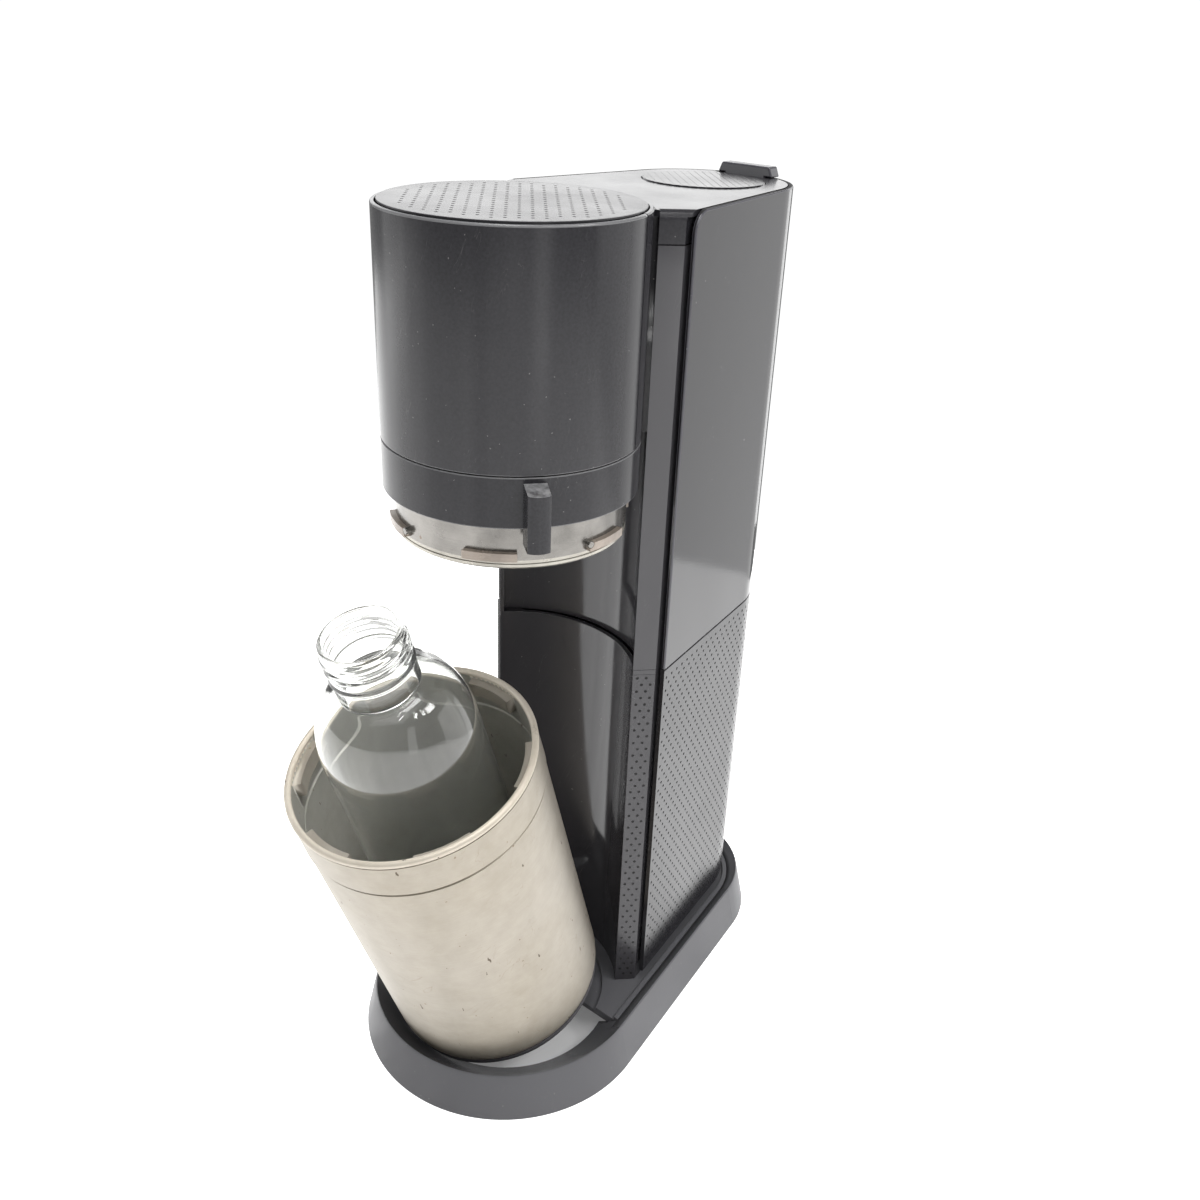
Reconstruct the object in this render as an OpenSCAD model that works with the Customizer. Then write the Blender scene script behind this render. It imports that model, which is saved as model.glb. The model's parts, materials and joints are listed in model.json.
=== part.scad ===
// Sparkling water maker with a leaning steel canister and a glass carafe.
// Millimetres. +Z is up, the front faces -Y and +X is on the right, seen from the front.
// Shapes are drawn about the head's axis, and centred() moves them over the footprint's middle.
// Azimuths are degrees from the front (-Y) towards +X. Offsets are distances from the head's axis
// to the outline's sides, which taper towards the rear.

/* [Head] */
// Radius of the head and of its lock ring
head_r = 56.8; // [54:0.2:62]
// Height of the lock ring's lower edge above the floor
ring_bottom_z = 317.4; // [305:0.2:330]
// Wall of the head's covers
head_wall = 1.8; // [1.2:0.1:2.4]
// Half angle that the front cover wraps
cover_half_arc = 110; // [95:1:120]
// Wall of the frame inside the head
frame_wall = 1.6; // [1.2:0.1:2.4]
// Thickness of the web that carries the nozzle
web_t = 3; // [2:0.2:4]

/* [Lock ring] */
// Height of the lock ring
ring_h = 22; // [16:0.5:26]
// Inset of the bayonet collar from the head's outside
collar_inset = 5.2; // [4:0.1:7]
// Drop of the collar below the ring
collar_drop = 20.2; // [18:0.2:24]
// Wall of the collar
collar_wall = 3.4; // [3:0.1:4]
// Number of bayonet lugs and of canister tabs
lug_count = 6; // [4:1:6]
// Azimuth of the first lug's middle
lug_az = 33.7; // [20:0.1:50]
// Arc of one lug
lug_arc = 24.8; // [16:0.2:28]
// Reach of a lug beyond the collar
lug_reach = 2.6; // [1.5:0.1:3]
// Height of a lug
lug_h = 3.7; // [2:0.1:5]
// Radius of a collar pin
pin_r = 1.6; // [1:0.1:2]
// Azimuth of the ring lever
lever_az = 53; // [40:1:70]
// Reach of the lever beyond the ring
lever_reach = 11.5; // [8:0.5:16]
// Width of the lever
lever_w = 9.5; // [7:0.5:14]
// Drop of the lever below the ring
lever_drop = 6.4; // [0:0.2:12]

/* [Button] */
// Gap between the button cap and the head's wall
button_gap = 0.6; // [0.4:0.1:1.2]
// Thickness of the button cap
cap_t = 3; // [2:0.2:4]
// Travel of the button
button_travel = 4; // [2:0.5:4]
// Radius of the stem under the cap
stem_r = 8; // [5:0.5:10]
// Room for the spring between the guide and the cap
spring_room = 6.4; // [6:0.2:9]
// Wire diameter of the button spring
spring_wire = 0.9; // [0.6:0.1:1.1]
// Turns of the button spring
spring_turns = 2.5; // [2:0.5:3]

/* [Tower] */
// Distance from the head's axis to the axis of the tower's round rear
axis_gap = 132; // [126:1:142]
// Reach of the back cover's sides beyond the head
side_reach = 6.1; // [5.2:0.1:8]
// Taper of each side towards the rear
taper = 8.65; // [7:0.05:9.5]
// Wall of the back cover
panel_wall = 2.4; // [1.6:0.1:3]
// Front edge of the back cover, behind the head's axis
panel_front_y = 49; // [46:0.5:56]
// Radius of the back cover's upper front corner
panel_corner_r = 10; // [4:1:16]
// Height of the seam between gloss and dotted panels
seam_z = 220.4; // [180:1:250]
// Gap from the head's outside to the lower recess behind it
recess_gap = 2.4; // [1.4:0.1:3.6]
// Depth of the ledge where the upper recess steps back
ledge = 3.8; // [2:0.1:5]
// Azimuth of each pillar's inner edge
pillar_az = 131; // [126:0.5:134]
// Width of each pillar's front face
pillar_w = 11.3; // [8:0.1:13]
// Direction of each pillar's front face, from +X
pillar_turn = 47.1; // [40:0.5:54]
// Wall of the front shells
shell_wall = 2.5; // [1.6:0.1:3.5]
// Rear edge of the front shells' sides
shell_back_y = 95; // [80:1:105]
// Rise of the head's rim above the tower's top
rim_rise = 1.4; // [0.4:0.1:2.2]
// Thickness of the top cover
top_t = 2.6; // [2:0.1:3.6]
// Drop of the top cover over the pillars
skirt_drop = 13.4; // [10:0.2:20]
// Radius of the bend over the pillars
bend_r = 5; // [2:0.5:6]
// Inset of the vent cap from the top cover's round rear
vent_inset = 10.85; // [9:0.05:18]
// Distance between the vent cap's grooves
vent_pitch = 3.6; // [2.4:0.1:6]
// Half width of the back handle
handle_half_w = 16; // [10:0.5:20]
// Rise of the back handle above the back cover
handle_rise = 4.9; // [3:0.1:8]

/* [Base] */
// Reach of the base beyond the back cover's sides, at the floor
base_reach = 15.5; // [13:0.1:21]
// Height of the base's edge
base_h = 25.5; // [23:0.5:28]
// Inset of the wall from the floor to the edge
base_draft = 5.8; // [3:0.2:7]
// Wall of the base
base_wall = 3; // [2:0.2:4]
// Width of the dish, from the base's edge to the through opening
dish_w = 17.6; // [15:0.2:22]
// Height of the dish at the opening's edge
dish_edge_z = 12.2; // [9:0.1:14]
// Thickness of the dish
dish_t = 3.4; // [2:0.2:4]
// Height of the deck
deck_top_z = 20; // [18:0.2:21]
// Thickness of the deck
deck_t = 5; // [4:0.2:6]
// Front edge of the deck, behind the head's axis
deck_front_y = 16; // [12:0.5:30]
// Inset of the deck's round step from the through opening
step_inset = 3; // [0:0.5:8]
// Depth of the round step
step_depth = 2; // [1:0.2:3]
// Width of the border ridge along the deck
ridge_w = 2.7; // [1.6:0.1:3.2]
// Height of the border ridge
ridge_h = 2; // [1:0.2:3]
// Height that the rubber feet stand proud
foot_proud = 1; // [0.6:0.1:2]
// Radius of a rubber foot
foot_r = 6; // [4:0.2:6.4]

/* [Canister] */
// Forward lean of the canister
can_tilt = 18.7; // [10:0.1:24]
// Place of the canister's bottom centre, behind the head's axis
can_y = -9.7; // [-14:0.1:-6]
// Height of the canister from its steel bottom to its rim
can_len = 173.5; // [160:0.5:185]
// Reach of the rim beyond the collar
rim_reach = 7.4; // [6.8:0.1:9]
// Inset of the steel wall at the bottom from the rim
can_narrowing = 3.5; // [2:0.1:6]
// Wall of the canister
can_wall = 0.8; // [0.6:0.1:1.2]
// Radius of the rolled bead on the rim
bead_r = 1.65; // [1.2:0.05:1.8]
// Distance of the band line below the rim
band_drop = 21.3; // [16:0.1:30]
// Arc of one inner tab
tab_arc = 28; // [18:0.5:30]
// Height of one inner tab
tab_h = 8; // [4:0.5:10]
// Thickness of the foot under the steel
can_foot_t = 4.5; // [3:0.1:8]

/* [Carafe] */
// Height of the carafe's lip above the canister's steel bottom
carafe_h = 250.7; // [236:0.5:262]
// Radius of the carafe's body
carafe_r = 36.3; // [30:0.1:40]
// Wall of the glass
glass_wall = 2.8; // [2:0.1:4]
// Radius of the neck
neck_r = 18.4; // [16:0.1:19]
// Height of the neck with its bead and threads
neck_h = 28.7; // [26:0.1:34]
// Height of the shoulder
shoulder_h = 34; // [24:0.5:44]

/* [Gas supply] */
// Radius of the gas cylinder
cyl_r = 30; // [28:0.5:31]
// Wall of the gas cylinder
cyl_wall = 2.6; // [2:0.1:3.4]
// Place of the gas cylinder behind the head's axis
cyl_y = 112; // [108:0.5:114]
// Radius of the cylinder's valve neck
valve_r = 10.4; // [8:0.1:11]
// Length of the cylinder's valve
valve_len = 24; // [20:0.5:28]
// Depth of the socket that takes the valve
socket_depth = 12; // [8:0.5:13]
// Height of the valve block
block_h = 24; // [20:0.5:28]
// Radius of the valve block
block_r = 17.5; // [15:0.5:18]
// Outer radius of the gas pipe
pipe_r = 2; // [1.5:0.1:2.4]
// Height of the rocker lever's bar
rocker_h = 7; // [5:0.5:9]
// Width of the rocker lever's bar
rocker_w = 14; // [10:0.5:16]
// Radius of the rocker's pivot pin
pivot_r = 3; // [2:0.1:3.2]

/* [Fits] */
// Open seam between covers
seam = 0.5; // [0.3:0.1:0.8]
// Gap between pieces that move past each other
run_gap = 0.3; // [0.2:0.05:0.4]
// Gap round a pin that turns in its bore
pin_fit = 0.06; // [0.02:0.01:0.1]
// Gap between pieces that are fixed together
fit = 0.1; // [0.05:0.01:0.2]

/* [Hidden] */
$fn = 96;
far = 400;

// Heights from the lock ring up to the rim
ring_top_z = ring_bottom_z + ring_h;
cover_z = ring_top_z + seam;
shelf_t = 3.8;
shelf_top_z = cover_z + shelf_t;
collar_z = ring_bottom_z - collar_drop;
flange_z = shelf_top_z + run_gap;
flange_t = 2.6;
lip_locked_z = ring_bottom_z + carafe_h - can_len;
seal_t = 4;
seal_top_z = lip_locked_z + seal_t;
holder_nose = 1.4;
web_z = seal_top_z + holder_nose;
web_top_z = web_z + web_t;
pipe_z = web_top_z + pipe_r + fit + run_gap;
holder_crown = 2 * pipe_r + 0.5;
holder_top_z = web_top_z + holder_crown;
rocker_nose_r = 9;
rocker_clear = 1.25;
flange_r = block_r + 7.5;
pivot_y = cyl_y + flange_r + 5.5;
rocker_z = holder_top_z + button_travel * (pivot_y + rocker_nose_r) / pivot_y + rocker_clear;
rocker_top_z = rocker_z + rocker_h;
pivot_z = rocker_z + rocker_h / 2;
stem_z = rocker_top_z + run_gap;
guide_z = stem_z + 3.2;
guide_t = 2.5;
guide_top_z = guide_z + guide_t;
cap_z = guide_top_z + spring_room;
cap_top_z = cap_z + cap_t;
cap_sink = 0.6;
head_top_z = cap_top_z + cap_sink;
tower_top_z = head_top_z - rim_rise;
lid_z = tower_top_z - top_t;
skirt_z = tower_top_z - skirt_drop;

// Radii of the head, from outside in
collar_r = head_r - collar_inset;
cover_in_r = head_r - head_wall;
button_r = cover_in_r - button_gap;
joint_az = cover_half_arc + 0.4;
frame_r = cover_in_r - fit;
frame_in_r = frame_r - frame_wall;
collar_in_r = collar_r - collar_wall;
collar_neck_r = collar_in_r + 1.8;
collar_flange_r = collar_neck_r + 2.4;
bell_r = collar_in_r - run_gap - fit;
bell_wall = 2.5;
rim_edge = 0.6;
holder_r = neck_r + 1.8;
port_y = holder_r + 4;
nozzle_r = 3.2;
nozzle_z = collar_z + 3;
relief_r = 3;
relief_turn = -31;
relief_at = (bell_r - 4 * relief_r - 0.8) * [cos(relief_turn), sin(relief_turn)];

// Tower
side_off = head_r + side_reach;
recess_r = head_r + recess_gap;
upper_recess_r = recess_r + ledge;
shell_off = side_off - panel_wall - 1.7;
lid_off = side_off - panel_wall - run_gap - fit;
rear_inset = axis_gap * sin(taper);
vent_r = lid_off - rear_inset - vent_inset;
side_slack = 0.01;
pillar_in = recess_r * [sin(pillar_az), -cos(pillar_az)];
pillar_out = pillar_in + pillar_w * [cos(pillar_turn), sin(pillar_turn)];
flank_az = pillar_az + 2;
tongue_az = flank_az + 2;
panel_z = base_h + 1;
seam_bevel = 0.5;
handle_depth = 7.5;
handle_y = axis_gap + side_off - rear_inset - handle_depth;

// Base
base_off = side_off + base_reach;
rim_off = base_off - base_draft;
opening_r = rim_off - dish_w;
step_r = opening_r - step_inset;
edge_w = 1.4;
edge_drop = 0.8;
dish_slope = (base_h - dish_edge_z) / (rim_off - opening_r);
flange_h = 3;
floor_z = foot_proud;
flange_top_z = floor_z + flange_h;
front_flange_r = opening_r + 9;
slope_in_off = rim_off - 5.6;
deck_off = slope_in_off - run_gap;
ledge_off = slope_in_off - 5;
ledge_t = 3.5;
deck_z = deck_top_z - deck_t;
plate_off = slope_in_off + 0.7;
plate_front_y = 45;
foot_sunk = 1.2;
foot_front_az = 38;
foot_gap = 12;
front_foot_r = (front_flange_r + wall_off(floor_z)) / 2;
boss_r = 4.5;
boss_front_y = 58;
boss_front_x = (ledge_off - boss_r - 1.5 - boss_front_y * sin(taper)) / cos(taper);
boss_rear_r = ledge_off - rear_inset - boss_r - 1.5;
boss_rear_turn = 45;
boss_places = [
    [boss_front_x, boss_front_y],
    [-boss_front_x, boss_front_y],
    [boss_rear_r * cos(boss_rear_turn), axis_gap + boss_rear_r * sin(boss_rear_turn)],
    [-boss_rear_r * cos(boss_rear_turn), axis_gap + boss_rear_r * sin(boss_rear_turn)]
];
screw_r = 1.5;
screw_head_r = 3;
screw_head_t = 1.8;

// Canister and carafe
rim_r = collar_r + rim_reach;
can_bottom_r = rim_r - can_narrowing;
tab_drop = ring_bottom_z - (collar_z + 4.2 + lug_h) - run_gap - tab_h;
tab_in_r = collar_r + 0.6;
sleeve_in_r = rim_r - 2 * bead_r + 0.3;
band_r = rim_r - 0.4;
sleeve_r = band_r - can_wall - 0.2;
can_floor = 1.2;
foot_edge_r = can_bottom_r - 1;
foot_bevel = 2;
foot_corners = [[foot_edge_r - foot_bevel, can_foot_t], [foot_edge_r, can_foot_t - foot_bevel]];
can_z = max([for (c = foot_corners) seat_height(c)]) + run_gap;
carafe_z = can_floor + run_gap;
shoulder_z = carafe_h - neck_h - shoulder_h;
front_y = can_y - (can_len - bead_r) * sin(can_tilt) - (rim_r - bead_r) * cos(can_tilt) - bead_r;
rear_y = axis_gap + wall_off(floor_z) - rear_inset;
mid_y = (front_y + rear_y) / 2;

// Gas supply
cradle_wall = 2.5;
cradle_floor = 4;
cradle_h = 14;
block_z = rocker_z - 5 - block_h;
plate_t = 4;
plate_fore = 37;
plate_aft = 13;
plate_tail_half_w = 18;
plate_hole_gap = 3.6;
upright_gap = 0.8;
upright_in = cyl_r + run_gap + cradle_wall + upright_gap;
upright_t = 2.2;
upright_fore = 22;
upright_aft = 6;
flange_screw_r = block_r + 3.8;
bolt_r = 2;
bolt_gap = 0.2;
bolt_head_r = 2.9;
bolt_head_t = 2.5;
bolt_tail = 3;
block_flange_t = 4;
cyl_z = deck_top_z + cradle_floor + run_gap;
valve_top_z = block_z + socket_depth - run_gap;
valve_z = valve_top_z - valve_len;
dome_h = 24;
plunger_r = 3;
plunger_head = 3;
cheek_in = rocker_w / 2 + 1.5;
cheek_t = 4;
bracket_half = 5;
bracket_floor = 3;

charcoal = [0.16, 0.16, 0.17];
gloss_black = [0.06, 0.06, 0.07];
base_grey = [0.2, 0.2, 0.21];
steel = [0.62, 0.6, 0.57];
collar_metal = [0.5, 0.47, 0.42];
brass = [0.72, 0.58, 0.3];
rubber = [0.08, 0.08, 0.08];
white_plastic = [0.85, 0.85, 0.83];
glass = [0.75, 0.85, 0.82, 0.4];

// Offset of the base's outer wall at a height
function wall_off(z) = base_off - base_draft * z / base_h;

// Height of the dish at a distance from the head's axis
function dish_z(r) = dish_edge_z + (r - opening_r) * dish_slope;

// Height of the canister's bottom at which a front corner of its foot meets the dish
function seat_height(c) =
    let (y = can_y - c[0] * cos(can_tilt) + c[1] * sin(can_tilt))
    dish_z(-y) + c[0] * sin(can_tilt) + c[1] * cos(can_tilt);

// Quarter ellipse from a vertical start to a level end, in (radius, height)
function quarter(r0, z0, r1, z1, steps = 10) =
    [for (i = [0 : steps]) [r1 + (r0 - r1) * cos(90 * i / steps), z0 + (z1 - z0) * sin(90 * i / steps)]];

// Moves shapes from the head's axis to the middle of the footprint
module centred() { translate([0, -mid_y, 0]) children(); }

// Both sides of a shape that is drawn on the right
module both_sides() {
    children();
    mirror([1, 0, 0]) children();
}

// Round ring between two radii and two heights
module ring(r_in, r_out, z0, z1) {
    rotate_extrude() translate([r_in, z0]) square([r_out - r_in, z1 - z0]);
}

// Part of a ring between two azimuths
module ring_part(r_in, r_out, z0, z1, az0, az1) {
    rotate([0, 0, az0 - 90])
        rotate_extrude(angle = az1 - az0)
            translate([r_in, z0]) square([r_out - r_in, z1 - z0]);
}

// Upright disc between two heights
module post(r, z0, z1) { translate([0, 0, z0]) cylinder(r = r, h = z1 - z0); }

// Box between two corners
module box(a, b) { translate(a) cube(b - a); }

// Teardrop outline: front arc, tapering sides and rear arc
module teardrop(off) {
    rear_r = off - rear_inset;
    side = [cos(taper), sin(taper)];
    front = (off - side_slack) * side;
    rear = [0, axis_gap] + (rear_r - side_slack) * side;
    circle(r = off);
    translate([0, axis_gap]) circle(r = rear_r);
    polygon([front, rear, [-rear[0], rear[1]], [-front[0], front[1]]]);
}

// Ground behind a line across the machine
module behind(y) { translate([-far, y]) square([2 * far, far]); }

// Ground behind the faces of the two pillars
module behind_pillars() {
    polygon([
        [-far, pillar_out[1]], [-pillar_out[0], pillar_out[1]], [-pillar_in[0], pillar_in[1]],
        pillar_in, pillar_out, [far, pillar_out[1]], [far, far], [-far, far]
    ]);
}

// Wedge of ground between two azimuths about the rear
module rear_wedge(az) {
    reach = 2 * head_r;
    side = reach * [sin(az), -cos(az)];
    polygon([[0, 0], side, [reach, 2 * reach], [-reach, 2 * reach], [-side[0], side[1]]]);
}

// Section of a front shell: pillars, recess wall and side returns
module shell_section(depth) {
    difference() {
        intersection() {
            teardrop(shell_off);
            behind_pillars();
        }
        circle(r = recess_r);
        intersection() {
            circle(r = recess_r + depth);
            rear_wedge(flank_az);
        }
        difference() {
            intersection() {
                teardrop(shell_off - shell_wall);
                behind(pillar_out[1] + shell_wall);
            }
            circle(r = recess_r + depth + shell_wall);
        }
        behind(shell_back_y);
    }
}

// Passage for the rocker lever and the gas pipe, from the head into the tower
module passage() {
    side_room = 1.5;
    low_room = 0.6;
    high_room = 0.8;
    half_w = rocker_w / 2 + side_room;
    box([-half_w, frame_in_r - 2 * frame_wall, pipe_z - pipe_r - low_room],
        [half_w, upper_recess_r + 2 * shell_wall, rocker_top_z + high_room]);
}

// Wall of the back cover, seen from above
module wrap_section() {
    difference() {
        intersection() {
            teardrop(side_off);
            behind(panel_front_y);
        }
        teardrop(side_off - panel_wall);
    }
}

// Section of the base wall with the dish, in (distance, height)
function dish_section() = let (knee = rim_off - base_wall) [
    [front_flange_r, floor_z],
    [wall_off(floor_z), floor_z],
    [wall_off(base_h - edge_drop), base_h - edge_drop],
    [rim_off - edge_w / 3, base_h],
    [rim_off - edge_w, dish_z(rim_off - edge_w)],
    [opening_r, dish_edge_z],
    [opening_r, dish_edge_z - dish_t],
    [knee, dish_z(knee) - dish_t - 0.4],
    [wall_off(flange_top_z) - base_wall, flange_top_z],
    [front_flange_r, flange_top_z]
];

// Section of the base wall with the ledge that carries the deck, drawn in by a slack
function ledge_section(slack) = [
    [plate_off + fit + slack, floor_z + slack],
    [wall_off(floor_z) - slack, floor_z + slack],
    [wall_off(base_h - edge_drop) - slack, base_h - edge_drop - slack],
    [rim_off - edge_w / 3, base_h - slack],
    [rim_off - edge_w, dish_z(rim_off - edge_w) - slack],
    [slope_in_off + slack, dish_z(slope_in_off) - slack],
    [slope_in_off + slack, deck_z - slack],
    [ledge_off + slack, deck_z - slack],
    [ledge_off + slack, deck_z - ledge_t + slack],
    [wall_off(deck_z - ledge_t) - base_wall + slack, deck_z - ledge_t + slack],
    [wall_off(flange_top_z) - base_wall + slack, flange_top_z - slack],
    [plate_off + fit + slack, flange_top_z - slack]
];

// Sinks for the rubber feet
module foot_places() {
    both_sides()
        translate([front_foot_r * sin(foot_front_az), -front_foot_r * cos(foot_front_az)]) children();
    both_sides() translate([boss_front_x - foot_gap, boss_front_y + foot_gap]) children();
    translate([0, axis_gap + boss_rear_r]) children();
}

// Corners where the dish runs on to the deck's front edge
module dish_corners() {
    lap_turn = 3;
    turn = 14;
    drop = 5 * side_slack;
    level_r = slope_in_off - 0.5;
    end_r = slope_in_off + 1.5;
    both_sides() difference() {
        rotate([0, 0, taper - lap_turn]) rotate_extrude(angle = turn) polygon([
            [opening_r + drop, dish_edge_z - dish_t + drop], [end_r, dish_edge_z - dish_t + drop],
            [end_r, dish_z(level_r) - drop], [level_r, dish_z(level_r) - drop],
            [opening_r + drop, dish_edge_z - drop]
        ]);
        box([0, deck_front_y - run_gap, 0], [far, far, far]);
    }
}

module base_frame() {
    lap = 0.8;
    run = axis_gap * cos(taper);
    color(base_grey) centred() difference() {
        union() {
            rotate([0, 0, 180 - taper])
                rotate_extrude(angle = 180 + 2 * taper) polygon(dish_section());
            both_sides()
                rotate([0, 0, taper]) translate([0, run + lap, 0]) rotate([90, 0, 0])
                    linear_extrude(run + 2 * lap) polygon(ledge_section(2 * side_slack));
            translate([0, axis_gap, 0]) rotate([0, 0, taper])
                rotate_extrude(angle = 180 - 2 * taper)
                    translate([-rear_inset, 0]) polygon(ledge_section(0));
            dish_corners();
        }
        foot_places() post(foot_r + fit, floor_z - 1, floor_z + foot_sunk);
    }
}

module deck_tray() {
    color(base_grey) centred() difference() {
        union() {
            translate([0, 0, deck_z]) linear_extrude(deck_t) intersection() {
                teardrop(deck_off);
                behind(deck_front_y);
            }
            translate([0, 0, deck_top_z - 1]) linear_extrude(ridge_h + 1) intersection() {
                difference() {
                    teardrop(deck_off);
                    teardrop(deck_off - ridge_w);
                }
                behind(deck_front_y);
            }
            for (p = boss_places) translate(p) post(boss_r, flange_top_z, deck_z + 1);
        }
        post(step_r, deck_top_z - step_depth, deck_top_z + 1);
        for (p = boss_places) translate(p) post(screw_r + fit, flange_top_z - 1, deck_z - 1);
    }
}

module base_plate() {
    color(rubber) centred() difference() {
        translate([0, 0, floor_z]) linear_extrude(flange_h) intersection() {
            teardrop(plate_off);
            behind(plate_front_y);
        }
        foot_places() post(foot_r + fit, floor_z - 1, floor_z + foot_sunk);
        for (p = boss_places) translate(p) {
            post(screw_r + fit, floor_z - 1, flange_top_z + 1);
            post(screw_head_r + fit, floor_z - 1, floor_z + screw_head_t + 0.4);
        }
    }
}

module base_feet() {
    color(rubber) centred() foot_places() post(foot_r, 0, floor_z + foot_sunk);
}

module base_screws() {
    color(steel) centred() for (p = boss_places) translate(p) {
        post(screw_head_r, floor_z + 0.4, floor_z + 0.4 + screw_head_t);
        post(screw_r, floor_z + screw_head_t, deck_z - 2);
    }
}

module lower_front_shell() {
    color(gloss_black) centred()
        translate([0, 0, deck_top_z]) linear_extrude(seam_z - deck_top_z) shell_section(0);
}

module upper_front_shell() {
    color(gloss_black) centred() difference() {
        translate([0, 0, seam_z]) linear_extrude(skirt_z - seam - seam_z) shell_section(ledge);
        passage();
    }
}

module head_frame() {
    color(white_plastic) centred() difference() {
        rotate_extrude() {
            translate([frame_in_r, cover_z]) square([frame_wall, guide_top_z - cover_z]);
            translate([collar_neck_r + run_gap, cover_z])
                square([frame_r - collar_neck_r - run_gap, shelf_t]);
            translate([holder_r + fit, web_z]) square([frame_r - holder_r - fit, web_t]);
            translate([stem_r + run_gap, guide_z]) square([frame_r - stem_r - run_gap, guide_t]);
        }
        passage();
        translate(relief_at) post(relief_r + fit, web_z - 1, web_top_z + 1);
    }
}

// Cut that breaks the outer edge of the rim round the button
module rim_bevel() {
    spare = 1;
    rotate_extrude() polygon([
        [head_r - rim_edge - spare, head_top_z + spare],
        [head_r + spare, head_top_z + spare],
        [head_r + spare, head_top_z - rim_edge - spare]
    ]);
}

module head_front_cover() {
    color(charcoal) centred() difference() {
        ring_part(cover_in_r, head_r, cover_z, head_top_z, -cover_half_arc, cover_half_arc);
        rim_bevel();
    }
}

module head_rear_shell() {
    color(charcoal) centred() difference() {
        union() {
            ring_part(cover_in_r, head_r, cover_z, lid_z, joint_az, 360 - joint_az);
            ring_part(head_r - 1, upper_recess_r - fit, cover_z, lid_z, tongue_az, 360 - tongue_az);
        }
        passage();
    }
}

// Rounding tool along a pillar's upper front edge
module pillar_bend() {
    translate([pillar_in[0], pillar_in[1], tower_top_z]) rotate([0, 0, pillar_turn]) rotate([90, 0, 90])
        linear_extrude(pillar_w + 2 * bend_r) difference() {
            translate([-bend_r, -bend_r]) square([2 * bend_r, bend_r + 1]);
            translate([bend_r, -bend_r]) circle(r = bend_r + fit);
        }
}

module top_cover() {
    notch_half_w = handle_half_w + 1;
    color(charcoal) centred() difference() {
        union() {
            translate([0, 0, lid_z]) linear_extrude(top_t) intersection() {
                teardrop(lid_off);
                behind_pillars();
            }
            translate([0, 0, skirt_z]) linear_extrude(lid_z - skirt_z + 1) shell_section(ledge);
            ring_part(cover_in_r - 1, head_r, lid_z, head_top_z, joint_az, 360 - joint_az);
        }
        post(cover_in_r, lid_z - 1, head_top_z + 1);
        rim_bevel();
        passage();
        both_sides() pillar_bend();
        translate([0, axis_gap]) post(vent_r + seam, tower_top_z - top_t / 2, tower_top_z + 1);
        box([-notch_half_w, handle_y - 2, lid_z - 1], [notch_half_w, far, tower_top_z + 1]);
    }
}

module vent_cap() {
    rows = floor(vent_r / vent_pitch);
    groove_w = 0.9;
    color(charcoal) centred() translate([0, axis_gap, 0]) difference() {
        post(vent_r, tower_top_z - top_t / 2, tower_top_z + 0.2);
        rotate([0, 0, 45]) for (i = [-rows : rows])
            translate([i * vent_pitch - groove_w / 2, -vent_r - 1, tower_top_z - 0.5])
                cube([groove_w, 2 * vent_r + 2, 2]);
    }
}

module pressure_bell() {
    inner_r = bell_r - bell_wall;
    corner = 8;
    color(steel) centred() difference() {
        rotate_extrude() polygon([
            [inner_r, collar_z + 1.5], [bell_r, collar_z + 1.5], [bell_r, web_z], [holder_r + fit, web_z],
            [holder_r + fit, web_z - bell_wall], [inner_r - corner, web_z - bell_wall],
            [inner_r, web_z - bell_wall - corner]
        ]);
        translate(relief_at) post(relief_r + fit, web_z - bell_wall - 1, web_z + 1);
    }
}

module nozzle_holder() {
    crown_r = 12;
    port_half = pipe_r + 1.5;
    color(white_plastic) centred() union() {
        post(holder_r, seal_top_z, web_top_z + 0.5);
        post(port_y, web_top_z, web_top_z + 2);
        post(crown_r, web_top_z, holder_top_z);
        box([-port_half, 0, web_top_z], [port_half, port_y, holder_top_z]);
    }
}

module bottle_seal() {
    color(rubber) centred() ring(nozzle_r + fit, holder_r - fit, lip_locked_z, seal_top_z);
}

module nozzle_tube() {
    tip = 6;
    color(gloss_black) centred() rotate_extrude() polygon([
        [0.8, nozzle_z], [nozzle_r - 1.2, nozzle_z], [nozzle_r, nozzle_z + tip], [nozzle_r, seal_top_z],
        [0.8, seal_top_z]
    ]);
}

module relief_valve() {
    color(brass) centred() translate(relief_at) {
        post(relief_r, web_z - bell_wall, web_top_z + 0.5);
        translate([0, 0, web_top_z]) cylinder(r = 6, h = 5, $fn = 6);
        post(4, web_top_z + 4, web_top_z + 9);
    }
}

module gas_pipe() {
    color(steel) centred()
        translate([0, port_y, pipe_z]) rotate([-90, 0, 0]) difference() {
            cylinder(r = pipe_r, h = cyl_y - block_r - 4 - port_y);
            translate([0, 0, -1]) cylinder(r = pipe_r / 2, h = cyl_y);
        }
}

module chassis() {
    wide = upright_in + upright_t;
    tail_y = pivot_y + bracket_half + 1;
    color(steel) centred() difference() {
        union() {
            box([-wide, cyl_y - plate_fore, block_z - plate_t], [wide, cyl_y + plate_aft, block_z]);
            box([-plate_tail_half_w, cyl_y, block_z - plate_t], [plate_tail_half_w, tail_y, block_z]);
            both_sides() box([upright_in, cyl_y - upright_fore, deck_top_z],
                [wide, cyl_y + upright_aft, block_z - plate_t / 4]);
        }
        translate([0, cyl_y]) post(valve_r + plate_hole_gap, block_z - plate_t - 1, block_z + 1);
        valve_screw_places() post(bolt_r + bolt_gap, block_z - plate_t - 1, block_z + 1);
    }
}

// Places of the screws round the valve block
module valve_screw_places() {
    for (turn = [45 : 90 : 315])
        translate([flange_screw_r * cos(turn), cyl_y + flange_screw_r * sin(turn)]) children();
}

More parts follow.
